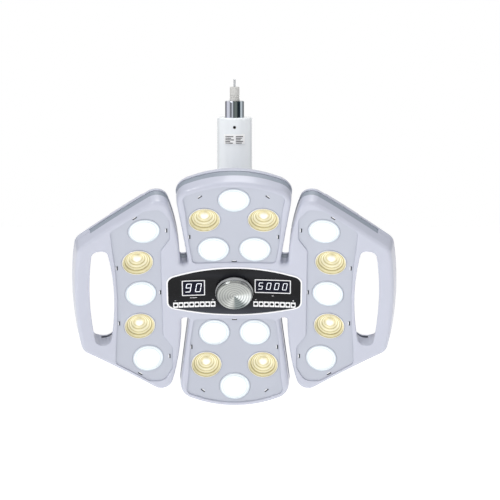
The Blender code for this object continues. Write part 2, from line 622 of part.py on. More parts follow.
def make_hub(head, arm):
    plate = slab(circle(0, 0, HUB_PLATE_R, TUBE_STEPS), HUB_PLATE_BACK, HUB_PLATE_FRONT)
    ears = slab(rectangle(0, 0, *HUB_EARS), HUB_PLATE_BACK, HUB_PLATE_FRONT)
    plate = combined(plate, [ears], "UNION")
    bore = slab(circle(0, 0, BUSH_R + GAP, HUB_STEPS), CUT_LOW, 0)
    finish(raised(combined(plate, [bore], "DIFFERENCE")), "hub_plate", head, "steel")
    bush_back = HUB_PLATE_BACK - GAP
    inner = STEM_PIN_R + GAP
    bush_end = bush_back - BUSH_FLANGE
    bush = turned([(inner, HUB_PLATE_FRONT), (BUSH_R, HUB_PLATE_FRONT), (BUSH_R, bush_back),
                   (BUSH_FLANGE_R, bush_back), (BUSH_FLANGE_R, bush_end), (inner, bush_end)], HUB_STEPS)
    finish(raised(bush), "roll_bush", head, "brass")

    nut_back = HUB_PLATE_FRONT + GAP
    nut_front = nut_back + NUT_THICK
    nut = slab(circle(0, 0, NUT_R, 6), nut_back, nut_front, [circle(0, 0, inner, HUB_STEPS)])
    finish(raised(nut), "stem_nut", arm, "steel")
    shoulder = bush_back - BUSH_FLANGE - GAP
    tip = nut_front + STEM_TIP
    stem = raised(turned([(0, tip), (STEM_PIN_R, tip), (STEM_PIN_R, shoulder), (STEM_R, shoulder),
                          (STEM_R, STEM_FOOT - FACE_REACH), (0, STEM_FOOT - FACE_REACH)], HUB_STEPS))
    barrel = along_x(turned([(0, KNUCKLE_HALF), (KNUCKLE_R, KNUCKLE_HALF), (KNUCKLE_R, -KNUCKLE_HALF),
                             (0, -KNUCKLE_HALF)], TUBE_STEPS))
    bore = tilt_bore()
    knuckle = combined(combined(barrel, [stem], "UNION"), [bore], "DIFFERENCE")
    finish(knuckle, "tilt_knuckle", arm, "aluminium")


def make_tilt_joint(column):
    axis = Matrix.Translation((0, 0, TILT_AXIS_Z))
    plug_r = TUBE_BORE - GAP
    top = TUBE_END + FORK_PLUG - TILT_AXIS_Z
    collar = TUBE_END - GAP - TILT_AXIS_Z
    profile = [(0, top), (plug_r - PLUG_CHAMFER, top), (plug_r, top - PLUG_CHAMFER), (plug_r, collar),
               (TUBE_R, collar)]
    profile += [(TUBE_R - inset, -FORK_END + rise) for inset, rise in FORK_NOSE]
    profile.append((0, -FORK_END))
    fork = turned(profile, KNOB_STEPS)
    slot_mid = (FORK_SLOT_TOP + CUT_LOW) / 2
    cuts = [box((2 * FORK_SLOT, SHEET, FORK_SLOT_TOP - CUT_LOW), (0, 0, slot_mid)), tilt_bore()]
    for side in (-1, 1):
        head_hole = TILT_HEAD_R + GAP
        sink = [(0, PIN_CUT), (head_hole, PIN_CUT), (head_hole, TILT_PIN_END), (0, TILT_PIN_END)]
        sunk = along_x(turned(sink, HUB_STEPS))
        if side < 0:
            sunk.data.transform(Matrix.Rotation(math.pi, 4, "Z"))
        cuts.append(sunk)
    fork = combined(fork, cuts, "DIFFERENCE")
    fork.data.transform(axis)
    finish(fork, "tilt_fork", column, "aluminium")

    head_low = TILT_PIN_END + GAP
    head_top = head_low + TILT_HEAD
    half = [(0, head_top), (TILT_HEAD_R, head_top), (TILT_HEAD_R, head_low), (TILT_PIN_R, head_low)]
    profile = half + [(radius, -w) for radius, w in reversed(half)]
    rivet = along_x(turned(profile, HUB_STEPS))
    rivet.data.transform(axis)
    finish(rivet, "tilt_pin", column, "steel")
    inner, outer = KNUCKLE_HALF + GAP, FORK_SLOT - GAP
    for side, name in ((1, "tilt_washer_right"), (-1, "tilt_washer_left")):
        ring = along_x(turned([(TILT_PIN_R + GAP, outer), (WASHER_R, outer), (WASHER_R, inner),
                               (TILT_PIN_R + GAP, inner)], HUB_STEPS))
        if side < 0:
            ring.data.transform(Matrix.Rotation(math.pi, 4, "Z"))
        ring.data.transform(axis)
        finish(ring, name, column, "dark_plastic")


def screw_rod(radius, start, end):
    """A round rod at the set screw's height, from start to end in front of the column's axis."""
    rod = slab(circle(0, 0, radius, LENS_STEPS), start, end)
    rod.data.transform(Matrix.Translation((0, 0, SCREW_Z)) @ Matrix.Rotation(math.radians(90), 4, "X"))
    return rod


def make_column(column):
    bore, clear = TUBE_BORE, SPIGOT_R + GAP
    shoulder = [(TUBE_R - inset, TUBE_TOP - drop) for inset, drop in TUBE_SHOULDER]
    cap_end = TUBE_TOP - TUBE_CAP
    lower = [(TUBE_R, TUBE_END), (bore, TUBE_END), (bore, cap_end), (clear, cap_end)]
    tube = turned([(clear, TUBE_TOP)] + shoulder + lower, TUBE_STEPS)
    hole = screw_rod(SCREW_R + GAP, clear - SPIGOT_INSIDE, TUBE_R + SPIGOT_INSIDE)
    finish(combined(tube, [hole], "DIFFERENCE"), "column_tube", column, "column")
    outer = bore - GAP
    bush = turned([(clear, BUSH_TOP), (outer, BUSH_TOP), (outer, BUSH_END), (clear, BUSH_END)], KNOB_STEPS)
    hole = screw_rod(SCREW_R + GAP, SCREW_END, TUBE_R + SPIGOT_INSIDE)
    finish(combined(bush, [hole], "DIFFERENCE"), "column_bush", column, "brass")
    finish(screw_rod(SCREW_R, SCREW_END + GAP, TUBE_R - GAP), "column_set_screw", column, "black_screw")

    inner = TUBE_R + GAP
    outer = inner + LABEL_THICK
    ring = [(inner, LABEL_TOP), (outer, LABEL_TOP), (outer, LABEL_END), (inner, LABEL_END)]
    label = turned(ring, LABEL_STEPS)
    side = SHEET * math.tan(LABEL_HALF_ANGLE)
    corners = [Vector((0, 0)), Vector((-side, -SHEET)), Vector((side, -SHEET))]
    wedge = slab(corners, LABEL_END - JOIN, LABEL_TOP + JOIN)
    finish(combined(label, [wedge], "INTERSECT"), "rating_plate", column, "label")


def make_spigot(mount):
    groove_top = BUSH_END - GAP
    groove_end = groove_top - CLIP_THICK - 2 * GAP
    spigot = turned([(SPIGOT_BORE, 0), (SPIGOT_R - SPIGOT_CHAMFER, 0), (SPIGOT_R, -SPIGOT_CHAMFER),
                     (SPIGOT_R, groove_top),
                     (CLIP_GROOVE, groove_top), (CLIP_GROOVE, groove_end), (SPIGOT_R, groove_end),
                     (SPIGOT_R, SPIGOT_END), (SPIGOT_BORE, SPIGOT_END)], KNOB_STEPS)
    finish(spigot, "mount_spigot", mount, "chrome")
    clip_top = groove_top - GAP
    clip = turned([(CLIP_GROOVE + GAP, clip_top), (CLIP_R, clip_top), (CLIP_R, clip_top - CLIP_THICK),
                   (CLIP_GROOVE + GAP, clip_top - CLIP_THICK)], HUB_STEPS)
    finish(clip, "spigot_circlip", mount, "steel")
    clear = PIN_R + GAP
    insulator = turned([(clear, INSULATOR_TOP), (INSULATOR_R - INSULATOR_EDGE, INSULATOR_TOP),
                        (INSULATOR_R, INSULATOR_TOP - INSULATOR_EDGE), (INSULATOR_R, INSULATOR_END),
                        (clear, INSULATOR_END)], INSULATOR_STEPS)
    finish(insulator, "contact_insulator", mount, "insulator")
    pin = turned([(0, PIN_TOP), (PIN_R - PIN_EDGE, PIN_TOP), (PIN_R, PIN_TOP - PIN_EDGE), (PIN_R, PIN_END),
                  (0, PIN_END)])
    finish(pin, "contact_pin", mount, "steel")


clear_scene()
PARTS = new_collection("dental_operating_light")
CUTTERS = new_collection("cutters")
mount_empty = empty("mount_axis", (0, 0, 0))
column_empty = empty("column_axis", (0, 0, 0), 0, mount_empty)
arm_empty = empty("tilt_axis", (0, 0, TILT_AXIS_Z), math.radians(90) + FACE_ANGLE, column_empty)
head_empty = empty("head_axis", (0, 0, 0), 0, arm_empty)
plunger_empty = empty("knob_push_axis", (0, 0, 0), 0, head_empty)
knob_empty = empty("knob_turn_axis", (0, 0, 0), 0, plunger_empty)

make_spigot(mount_empty)
make_column(column_empty)
make_tilt_joint(column_empty)
make_hub(head_empty, arm_empty)
make_covers(head_empty)
make_grips(head_empty)
make_plates(head_empty)
make_optics(head_empty)
make_boards(head_empty)
make_controls(head_empty, plunger_empty, knob_empty)
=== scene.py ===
# Dental operating light: finished covers, optics, panel and column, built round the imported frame.
import json
import math

import bmesh
import bpy
from mathutils import Matrix, Vector


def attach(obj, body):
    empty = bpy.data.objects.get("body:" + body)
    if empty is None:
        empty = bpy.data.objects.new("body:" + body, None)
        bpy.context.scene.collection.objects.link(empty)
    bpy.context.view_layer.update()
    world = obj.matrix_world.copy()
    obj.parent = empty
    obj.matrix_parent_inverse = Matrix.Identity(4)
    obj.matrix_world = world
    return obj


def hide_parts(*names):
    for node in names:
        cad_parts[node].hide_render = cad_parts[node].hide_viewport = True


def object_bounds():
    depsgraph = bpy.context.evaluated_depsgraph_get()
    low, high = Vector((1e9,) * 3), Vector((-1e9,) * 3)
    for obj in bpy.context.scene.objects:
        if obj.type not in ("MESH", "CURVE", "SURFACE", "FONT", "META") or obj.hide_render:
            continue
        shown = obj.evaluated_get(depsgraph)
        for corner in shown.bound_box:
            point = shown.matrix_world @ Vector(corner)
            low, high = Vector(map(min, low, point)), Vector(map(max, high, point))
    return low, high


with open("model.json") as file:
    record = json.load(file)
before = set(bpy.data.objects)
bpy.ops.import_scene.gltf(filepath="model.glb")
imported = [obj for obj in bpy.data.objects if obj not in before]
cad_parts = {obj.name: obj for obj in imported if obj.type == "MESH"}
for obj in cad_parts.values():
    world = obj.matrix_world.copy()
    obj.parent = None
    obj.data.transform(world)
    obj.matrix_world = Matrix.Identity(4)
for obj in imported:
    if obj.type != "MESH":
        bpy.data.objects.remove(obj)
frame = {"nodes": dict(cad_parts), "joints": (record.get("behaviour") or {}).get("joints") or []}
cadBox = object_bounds()
joints = {joint["name"]: joint for joint in frame["joints"]}
faceNormal = Vector(joints["head_roll"]["axis"]).normalized()
faceCentre = Vector(joints["knob_turn"]["pos_m"])
faceUp = faceNormal.cross(Vector((1, 0, 0)))
facePlace = Matrix((Vector((1, 0, 0)), faceUp, faceNormal)).transposed().to_4x4()
facePlace.translation = faceCentre
print("frame loaded:", len(frame["nodes"]), "nodes")


class Wire:
    # a socket that can stand in a sum; every sum adds a Math node
    def __init__(self, graph, socket):
        self.graph = graph
        self.socket = socket

    def output(self, label):
        # another output of the same node
        return Wire(self.graph, self.socket.node.outputs[label])

    def sine(self):
        return self.graph.math("SINE", self)

    def __add__(self, other):
        return self.graph.math("ADD", self, other)

    def __radd__(self, other):
        return self.graph.math("ADD", other, self)

    def __sub__(self, other):
        return self.graph.math("SUBTRACT", self, other)

    def __rsub__(self, other):
        return self.graph.math("SUBTRACT", other, self)

    def __mul__(self, other):
        return self.graph.math("MULTIPLY", self, other)

    def __rmul__(self, other):
        return self.graph.math("MULTIPLY", other, self)

    def __lt__(self, other):
        return self.graph.math("LESS_THAN", self, other)


class Graph:
    # a shader tree, and the one method that adds nodes to it
    def __init__(self, tree):
        self.tree = tree

    def node(self, kind, settings=None, values=None, out=0):
        made = self.tree.nodes.new(kind)
        for key, value in (settings or {}).items():
            if key == "stops":
                ramp = made.color_ramp
                while len(ramp.elements) < len(value):
                    ramp.elements.new(0.5)
                for element, (place, colour) in zip(ramp.elements, value):
                    element.position = place
                    element.color = (*colour, 1)
            else:
                setattr(made, key, value)
        for key, value in (values or {}).items():
            self.put(made.inputs[key], value)
        return Wire(self, made.outputs[out])

    def put(self, socket, value):
        if isinstance(value, Wire):
            self.tree.links.new(value.socket, socket)
        else:
            socket.default_value = value

    def math(self, operation, first, second=0.0):
        return self.node("ShaderNodeMath", {"operation": operation}, {0: first, 1: second})

    def axis(self, vector, label):
        return self.node("ShaderNodeSeparateXYZ", {}, {0: vector}, label)


class Finish(Graph):
    # one material
    def __init__(self, name, **constants):
        self.material = bpy.data.materials.new(name)
        self.material.use_nodes = True
        super().__init__(self.material.node_tree)
        self.shader = self.tree.nodes["Principled BSDF"]
        for socketName, value in constants.items():
            self.shader.inputs[socketName.replace("_", " ")].default_value = value

    def feed(self, **wires):
        for socketName, wire in wires.items():
            self.put(self.shader.inputs[socketName.replace("_", " ")], wire)

    def blend(self, factor, first, second, kind="MIX"):
        # first and second are wires, or colours with their alpha
        settings = {"data_type": "RGBA", "blend_type": kind}
        return self.node("ShaderNodeMix", settings, {0: factor, 6: first, 7: second}, 2)

    def mix(self, factor, first, second):
        return self.blend(factor, (*first, 1), (*second, 1))

    def multiply(self, first, second):
        return self.blend(1.0, first, second, "MULTIPLY")

    def ramp(self, factor, stops):
        settings = {"stops": [(at, tone(code)) for at, code in stops]}
        return self.node("ShaderNodeValToRGB", settings, {"Fac": factor}, "Color")

    def place(self):
        return self.node("ShaderNodeTexCoord", out="Object")

    def noise(self, scale, detail=2.0, stretch=(1, 1, 1)):
        place = self.place()
        if stretch != (1, 1, 1):
            place = self.node("ShaderNodeMapping", {}, {"Vector": place, "Scale": stretch})
        return self.node("ShaderNodeTexNoise", {}, {"Vector": place, "Scale": scale, "Detail": detail})

    def bump(self, height, depth, strength=1.0):
        values = {"Height": height, "Distance": depth, "Strength": strength}
        return self.node("ShaderNodeBump", {}, values)

    def offset(self):
        # from the middle of a round piece, on the piece's own UV map
        spot = self.node("ShaderNodeUVMap", {"uv_map": "disc"})
        return self.node("ShaderNodeVectorMath", {"operation": "SUBTRACT"}, {0: spot, 1: (0.5, 0.5, 0)})

    def radius(self):
        # 0 at the middle of a round piece, 1 at its edge
        return self.node("ShaderNodeVectorMath", {"operation": "LENGTH"}, {0: self.offset()}, "Value") * 2.0

    def turn(self):
        # the angle round a round piece, from -pi to pi, 0 to its right
        up = self.axis(self.offset(), "Y")
        return self.math("ARCTAN2", up, up.output("X"))


# how fine each grain is, as the noise's scale
grainScales = {"broad": 14, "moulded": 420, "machined": 300, "stains": 30, "lens": 260, "spun": 60,
               "panel": 26, "digit": 150}


def tone(code):
    # a display colour as the shader's linear red, green and blue
    parts = [int(code[k:k + 2], 16) / 255 for k in (0, 2, 4)]
    return tuple(p / 12.92 if p <= 0.04045 else ((p + 0.055) / 1.055) ** 2.4 for p in parts)


def shade(colour, share):
    return tuple(part * share for part in colour)


def plastic(name, code, rough, grain=0.00003, mottle=0.03, coat=0.0, mirror=0.5):
    # moulded plastic or paint: faint mottling, uneven gloss and a fine moulding grain
    colour = tone(code)
    finish = Finish(name, Coat_Weight=coat, Coat_Roughness=0.08, Specular_IOR_Level=mirror)
    broad = finish.noise(grainScales["broad"], 3)
    fine = finish.noise(grainScales["moulded"], 2)
    finish.feed(Base_Color=finish.mix(broad, shade(colour, 1 - mottle), shade(colour, 1 + mottle)),
                Roughness=rough - 0.04 + 0.08 * broad,
                Normal=finish.bump(fine, grain, 0.6))
    return finish.material


def metal(name, code, rough, stretch=(1, 1, 1), grain=0.00002):
    # machined or plated metal with a grain that can run one way
    colour = tone(code)
    finish = Finish(name, Metallic=1.0)
    lines = finish.noise(grainScales["machined"], 3, stretch)
    stains = finish.noise(grainScales["stains"], 3)
    finish.feed(Base_Color=finish.mix(stains, shade(colour, 0.93), shade(colour, 1.03)),
                Roughness=rough - 0.05 + 0.10 * lines,
                Normal=finish.bump(lines, grain, 0.5))
    return finish.material


def litLens(name, stops, glowStops, glow, paintedSectorShade):
    # a lit lens: bright in the middle, moulded rings carrying painted reflection and shade, three sectors of
    # painted highlight, and an unlit rim that matches the plate
    finish = Finish(name, Roughness=0.16, Emission_Strength=glow, Coat_Weight=0.4, Coat_Roughness=0.05)
    grain = finish.noise(grainScales["lens"], 3)
    reach = finish.radius() + 0.03 * grain - 0.015
    light = finish.ramp(reach, stops)
    # three sectors of painted highlight, dimmed between them by the painted sector shade
    paintedLightFan = finish.turn() * 3.0 + grain      # three bright sectors
    light = finish.multiply(light, finish.mix(paintedLightFan.sine() * 0.5 + 0.5, (paintedSectorShade,) * 3, (1, 1, 1)))
    finish.feed(Base_Color=light, Emission_Color=finish.ramp(reach, glowStops),
                Normal=finish.bump(grain, 0.00005, 0.5))
    return finish.material


# rings and bands are stops from 0 to 1, outwards or across
# cool lens colour: a darker groove line, partly painted shade, then the plate-coloured rim
coolRingsAndShade = ((0.0, "fdfefe"), (0.73, "f8fdff"), (0.795, "d3e0e8"), (0.84, "fbffff"), (0.90, "eff6fa"),
             (0.93, "d2dce6"), (0.96, "c7cfda"), (1.0, "c0c5d1"))
coolGlow = ((0.0, "ffffff"), (0.73, "ffffff"), (0.795, "6f8088"), (0.84, "ffffff"), (0.90, "8090a0"),
            (0.93, "000000"))
# warm lens colour: bright and dark rings of painted reflection and shade on the reflector steps
warmRingsAndShade = ((0.0, "ffffff"), (0.20, "fffdf2"), (0.33, "f0e8c2"), (0.355, "c2b57e"), (0.385, "f8f3d6"),
             (0.47, "f2ebc6"), (0.492, "b7a970"), (0.525, "f6f0cf"), (0.615, "f9f4da"), (0.638, "ab9c61"),
             (0.675, "ebe2b8"), (0.74, "f4eecb"), (0.765, "988750"), (0.81, "d6cb98"), (0.885, "f3edcb"),
             (0.915, "ab9d68"), (0.945, "fffbe9"), (0.98, "c9ccd9"))
warmGlow = ((0.0, "ffffff"), (0.22, "fff9e4"), (0.34, "d8cc98"), (0.492, "8f8252"), (0.62, "c9bd8a"),
            (0.765, "6a5c34"), (0.90, "b9ad78"), (0.95, "000000"))
# painted reflection on the knob face: light and dark sectors round it
knobReflectionFan = ((0.0, "a4a6a3"), (0.06, "9c9e9b"), (0.14, "b2b4b0"), (0.19, "c8cac6"), (0.23, "b8bab6"),
           (0.27, "7c8483"), (0.36, "7b8382"), (0.41, "d6dad8"), (0.50, "dee1df"), (0.56, "b6b8b4"),
           (0.62, "acaeab"), (0.90, "aeb0ac"), (1.0, "a4a6a3"))
# upright bands of painted reflection on the chrome spigot, across its x
chromeReflectionBands = ((0.0, "8a8c98"), (0.06, "8a8c9a"), (0.13, "d4d6e4"), (0.40, "cdd2dc"), (0.44, "565e61"),
               (0.58, "727b78"), (0.68, "3f4c54"), (0.79, "1c2a34"), (0.83, "dbe6ee"), (0.90, "8e979e"),
               (1.0, "a2a9ae"))
# painted reflection on the black panel, from its lower edge (0) to its top (1)
panelPaintedReflection = ((0.0, "3d4048"), (0.10, "2d2f35"), (0.25, "15161a"), (0.45, "0b0b0e"), (0.72, "0d0e11"),
              (0.86, "1d1e23"), (0.95, "101114"), (1.0, "030304"))


def spunMetal(name, rough, rings, paintedLightFan):
    # a spun metal face with concentric turning marks and a painted reflection in a fan of light and dark
    # sectors, inside a satin edge
    finish = Finish(name)
    reach = finish.radius()
    grain = finish.noise(grainScales["spun"], 2)
    marks = (reach * rings + grain * 0.6).sine()
    fine = (reach * (rings * 3.1)).sine()
    around = finish.turn() * (0.5 / math.pi) + 0.5
    # the colour round the face is painted reflection, a fan of light and dark sectors
    face = finish.ramp(around + (marks * 0.012 + grain * 0.02 - 0.01), paintedLightFan)
    face = finish.multiply(face, finish.mix(marks * 0.5 + 0.5, (0.66, 0.67, 0.68), (1, 1, 1)))
    onFace = reach < 0.985
    edge = finish.mix(grain, tone("e2e4e6"), tone("f4f5f6"))
    finish.feed(Base_Color=finish.blend(onFace, edge, face),
                Metallic=onFace * 0.65 + 0.30,
                Roughness=rough + 0.05 * fine,
                Normal=finish.bump(marks + fine * 0.5, 0.00008, 0.5))
    return finish.material


def paintedReflectionChrome(name, radius, stops):
    # polished plating whose colour carries soft upright bands of painted reflection, set across the piece's
    # own x
    finish = Finish(name, Metallic=1.0)
    across = finish.axis(finish.place(), "X") * (0.5 / radius) + 0.5
    lines = finish.noise(grainScales["machined"], 3, (1, 1, 0.05))
    # the base colour is painted reflection, in bands across x
    finish.feed(Base_Color=finish.ramp(across + (lines * 0.02 - 0.01), stops), Roughness=0.06 + 0.06 * lines,
                Normal=finish.bump(lines, 0.000004, 0.5))
    return finish.material


def reflectionPaintedPanel(name, middle, reach, stops, rough):
    # black gloss with a painted reflection: it lifts to dark grey towards its lower edge, with a lighter band
    # near its top
    finish = Finish(name, Specular_IOR_Level=0.15)
    height = (finish.axis(finish.place(), "Z") - (middle - reach)) * (0.5 / reach)
    broad = finish.noise(grainScales["panel"], 3, (0.35, 1, 1))
    finish.feed(Base_Color=finish.ramp(height + (broad * 0.30 - 0.15), stops), Roughness=rough + 0.06 * broad,
                Normal=finish.bump(finish.noise(grainScales["moulded"], 2), 0.00001, 0.5))
    return finish.material


finishes = {
    "cover": plastic("cover_white_gloss", "bfc2d0", 0.30, coat=0.25),
    "rim": plastic("panel_rim_white", "fdfdff", 0.22, coat=0.4),
    "belt": plastic("belt_grey_satin", "929aa6", 0.42, 0.00005),
    "plate": plastic("lens_plate_satin", "b9bdc9", 0.46, 0.00006),
    "cool": litLens("lens_cool_lit", coolRingsAndShade, coolGlow, 0.07, 0.96),
    "warm": litLens("lens_warm_lit", warmRingsAndShade, warmGlow, 0.16, 0.86),
    "panel": reflectionPaintedPanel("panel_black_gloss", faceCentre.z, 0.034, panelPaintedReflection, 0.20),
    "window": plastic("display_window_navy", "070a1e", 0.12, 0.00001, 0.2, 0.0, 0.12),
    "mark": plastic("printed_white", "f2f2f4", 0.40),
    "lamp": plastic("indicator_dark", "121318", 0.25, mirror=0.15),
    "clip": plastic("clip_dark", "33363e", 0.40, mirror=0.2),
    "knob": spunMetal("knob_spun_metal", 0.24, 46, knobReflectionFan),
    "column": plastic("column_gloss_paint", "f6fafd", 0.16, 0.00001, 0.015, 0.6),
    "chrome": paintedReflectionChrome("spigot_chrome", 0.013, chromeReflectionBands),
    "steel": metal("turned_steel", "c5c7ca", 0.30, (1, 1, 6)),
    "cast": metal("machined_aluminium", "cdced2", 0.36, (1, 1, 4), 0.00003),
    "brass": metal("bearing_bronze", "c79a55", 0.32),
    "insulator": plastic("contact_insulator_cream", "cfcecb", 0.50, 0.00004),
    "blackScrew": metal("black_oxide_screw", "26262a", 0.38),
    "label": plastic("label_film", "fdfdfd", 0.42),
    "ink": plastic("label_ink", "1d1e26", 0.45),
    "board": plastic("led_board_mask", "dcdcd8", 0.45),
    "circuit": plastic("circuit_mask_green", "1c6a3c", 0.40),
    "darkPlastic": plastic("dark_moulding", "2a2a2d", 0.50),
}
lit = Finish("digit_lit", Emission_Strength=0.35, Roughness=0.4)
glowDrift = lit.mix(lit.noise(grainScales["digit"]), tone("e6ecfb"), tone("ffffff"))
lit.feed(Base_Color=glowDrift, Emission_Color=glowDrift)
finishes["digit"] = lit.material
print("finishes made:", len(finishes))


# Head pieces are drawn flat: x to the right, v up the face, w out of it, with the face centre at zero.
# They are then bent onto the shallow bowl of the face and put in place.
bowl = {"radius": 1.0, "grid": 0.012, "turnStep": math.radians(9)}
gap = 0.0003


def rounded(corners, step=bowl["turnStep"]):
    # closed outline from (x, v, radius) corners, each turned by an arc of its radius
    points = []
    for i, (x, v, radius) in enumerate(corners):
        here = Vector((x, v))
        if radius == 0:
            points.append(here)
            continue
        before = (Vector(corners[i - 1][:2]) - here).normalized()
        after = (Vector(corners[(i + 1) % len(corners)][:2]) - here).normalized()
        half = before.angle(after) / 2
        centre = here + (before + after).normalized() * radius / math.sin(half)
        start = here + before * radius / math.tan(half) - centre
        turn = start.angle_signed(here + after * radius / math.tan(half) - centre)
        steps = max(2, round(abs(turn) / step))
        for k in range(steps + 1):
            points.append(centre + Matrix.Rotation(-turn * k / steps, 2) @ start)
    return points


def mirrored(half, axis):
    # adds the mirror image of an open run of corners, sharing the ends that lie on the mirror
    flipped = [(-x, v, r) if axis == "X" else (x, -v, r) for x, v, r in reversed(half)]
    onMirror = 0 if axis == "X" else 1
    if abs(half[-1][onMirror]) < 1e-9:
        flipped = flipped[1:]
    if abs(half[0][onMirror]) < 1e-9:
        flipped = flipped[:-1]
    return half + flipped


def arcRun(centreV, radius, halfAngle, count):
    angles = [halfAngle * k / count for k in range(count + 1)]
    return [(radius * math.sin(a), centreV + radius * math.cos(a), 0) for a in angles]


def rectangle(x, v, width, height, corner=0.0):
    signs = ((-1, -1), (1, -1), (1, 1), (-1, 1))
    return rounded([(x + sx * width / 2, v + sy * height / 2, corner) for sx, sy in signs])


def circle(x, v, radius, steps=64):
    angles = [math.tau * k / steps for k in range(steps)]
    return [Vector((x + radius * math.cos(a), v + radius * math.sin(a))) for a in angles]


def working(mesh):
    made = bpy.data.objects.new("working", mesh)
    bpy.context.scene.collection.objects.link(made)
    return made


def baked(source):
    # the plain mesh of an object with its curve settings and modifiers applied, seams welded
    bpy.context.view_layer.update()
    mesh = bpy.data.meshes.new_from_object(source.evaluated_get(bpy.context.evaluated_depsgraph_get()))
    bpy.data.objects.remove(source, do_unlink=True)
    shape = bmesh.new()
    shape.from_mesh(mesh)
    bmesh.ops.remove_doubles(shape, verts=shape.verts, dist=0.00002)
    bmesh.ops.dissolve_degenerate(shape, edges=shape.edges, dist=0.00001)
    bmesh.ops.recalc_face_normals(shape, faces=shape.faces)
    shape.to_mesh(mesh)
    shape.free()
    return mesh


def slab(outer, low, high, holes=(), edge=0.0, grow=0.0, facets=3):
    # a flat solid between two depths, with holes, rounded edges and a grown or shrunk outline
    data = bpy.data.curves.new("slab", "CURVE")
    data.dimensions = "2D"
    data.fill_mode = "BOTH"
    data.bevel_depth = edge
    data.bevel_resolution = facets if edge else 0
    data.extrude = (high - low) / 2 - edge
    data.offset = grow - edge
    for index, line in enumerate([outer] + list(holes)):
        area = sum(a.x * b.y - b.x * a.y for a, b in zip(line, line[1:] + line[:1]))
        points = line if (area > 0) == (index == 0) else line[::-1]
        spline = data.splines.new("POLY")
        spline.points.add(len(points) - 1)
        for place, point in zip(spline.points, points):
            place.co = (point.x, point.y, 0, 1)
        spline.use_cyclic_u = True
    mesh = baked(working(data))
    mesh.transform(Matrix.Translation((0, 0, (low + high) / 2)))
    return mesh


def turned(profile, steps=64, centre=(0, 0), disc=None):
    # a solid of revolution about w; the profile runs from the top down the outside
    shape = bmesh.new()
    rings = []
    for radius, w in profile:
        if radius == 0:
            rings.append([shape.verts.new((centre[0], centre[1], w))] * steps)
        else:
            angles = [math.tau * k / steps for k in range(steps)]
            places = [(centre[0] + radius * math.cos(a), centre[1] + radius * math.sin(a), w) for a in angles]
            rings.append([shape.verts.new(place) for place in places])
    pairs = list(zip(rings, rings[1:]))
    if profile[0][0] > 0:
        pairs.append((rings[-1], rings[0]))
    for above, below in pairs:
        for k in range(steps):
            corners = (above[k], below[k], below[(k + 1) % steps], above[(k + 1) % steps])
            corners = list(dict.fromkeys(corners))
            if len(corners) > 2:
                shape.faces.new(corners)
    bmesh.ops.recalc_face_normals(shape, faces=shape.faces)
    if disc:
        layer = shape.loops.layers.uv.new("disc")
        for face in shape.faces:
            for loop in face.loops:
                x, v, w = loop.vert.co
                loop[layer].uv = (0.5 + (x - centre[0]) / disc / 2, 0.5 + (v - centre[1]) / disc / 2)
    mesh = bpy.data.meshes.new("turned")
    shape.to_mesh(mesh)
    shape.free()
    return mesh


def rod(radius, high, low, steps):
    return turned([(0, high), (radius, high), (radius, low), (0, low)], steps)


def block(size, centre):
    shape = bmesh.new()
    bmesh.ops.create_cube(shape, size=1)
    place = Matrix.Translation(centre) @ Matrix.Diagonal((*size, 1))
    bmesh.ops.transform(shape, matrix=place, verts=shape.verts)
    mesh = bpy.data.meshes.new("block")
    shape.to_mesh(mesh)
    shape.free()
    return mesh


def combined(mesh, others, operation):
    # joins, cuts or intersects one mesh with each of the others in turn
    for other in others:
        first, second = working(mesh), working(other)
        step = first.modifiers.new("Boolean", "BOOLEAN")
        step.operation = operation
        step.solver = "EXACT"
        step.object = second
        mesh = baked(first)
        bpy.data.objects.remove(second, do_unlink=True)
    return mesh


def joined(meshes):
    # several closed shapes of one piece in one mesh
    shape = bmesh.new()
    for mesh in meshes:
        shape.from_mesh(mesh)
    made = bpy.data.meshes.new("joined")
    shape.to_mesh(made)
    shape.free()
    return made


def bent(mesh):
    # bends a flat head shape onto the bowl of the face
    shape = bmesh.new()
    shape.from_mesh(mesh)
    for axis in (0, 1):
        values = [vert.co[axis] for vert in shape.verts]
        first, last = min(values), max(values)
        if last - first < 2 * bowl["grid"]:
            continue
        normal = Vector((1 - axis, axis, 0))
        for k in range(math.ceil(first / bowl["grid"]), math.floor(last / bowl["grid"]) + 1):
            everything = shape.verts[:] + shape.edges[:] + shape.faces[:]
            bmesh.ops.bisect_plane(shape, geom=everything, dist=0.00002, plane_co=normal * (k * bowl["grid"]),
                                   plane_no=normal)
    for vert in shape.verts:
        x, v, w = vert.co
        reach = math.hypot(x, v)
        if reach < 1e-9:
            continue
        angle = reach / bowl["radius"]
        spread = (bowl["radius"] - w) * math.sin(angle) / reach
        vert.co = (x * spread, v * spread, bowl["radius"] - (bowl["radius"] - w) * math.cos(angle))
    shape.to_mesh(mesh)
    shape.free()
    return mesh


def onFace(mesh, bend=True):
    if bend:
        bent(mesh)
    mesh.transform(facePlace)
    return mesh


def piece(mesh, name, finish, body, nodes=(), sharp=38, weighted=True):
    # the finished object: smooth with crisp edges, on its body, standing for its nodes
    mesh.materials.clear()
    mesh.materials.append(finishes[finish])
    mesh.shade_smooth()
    mesh.set_sharp_from_angle(angle=math.radians(sharp))
    source = working(mesh)
    if weighted:
        even = source.modifiers.new("Even shading", "WEIGHTED_NORMAL")
        even.keep_sharp = True
    bpy.context.view_layer.update()
    final = bpy.data.meshes.new_from_object(source.evaluated_get(bpy.context.evaluated_depsgraph_get()))
    bpy.data.objects.remove(source, do_unlink=True)
    final.name = name
    made = bpy.data.objects.new(name, final)
    bpy.context.scene.collection.objects.link(made)
    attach(made, body)
    if nodes:
        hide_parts(*nodes)


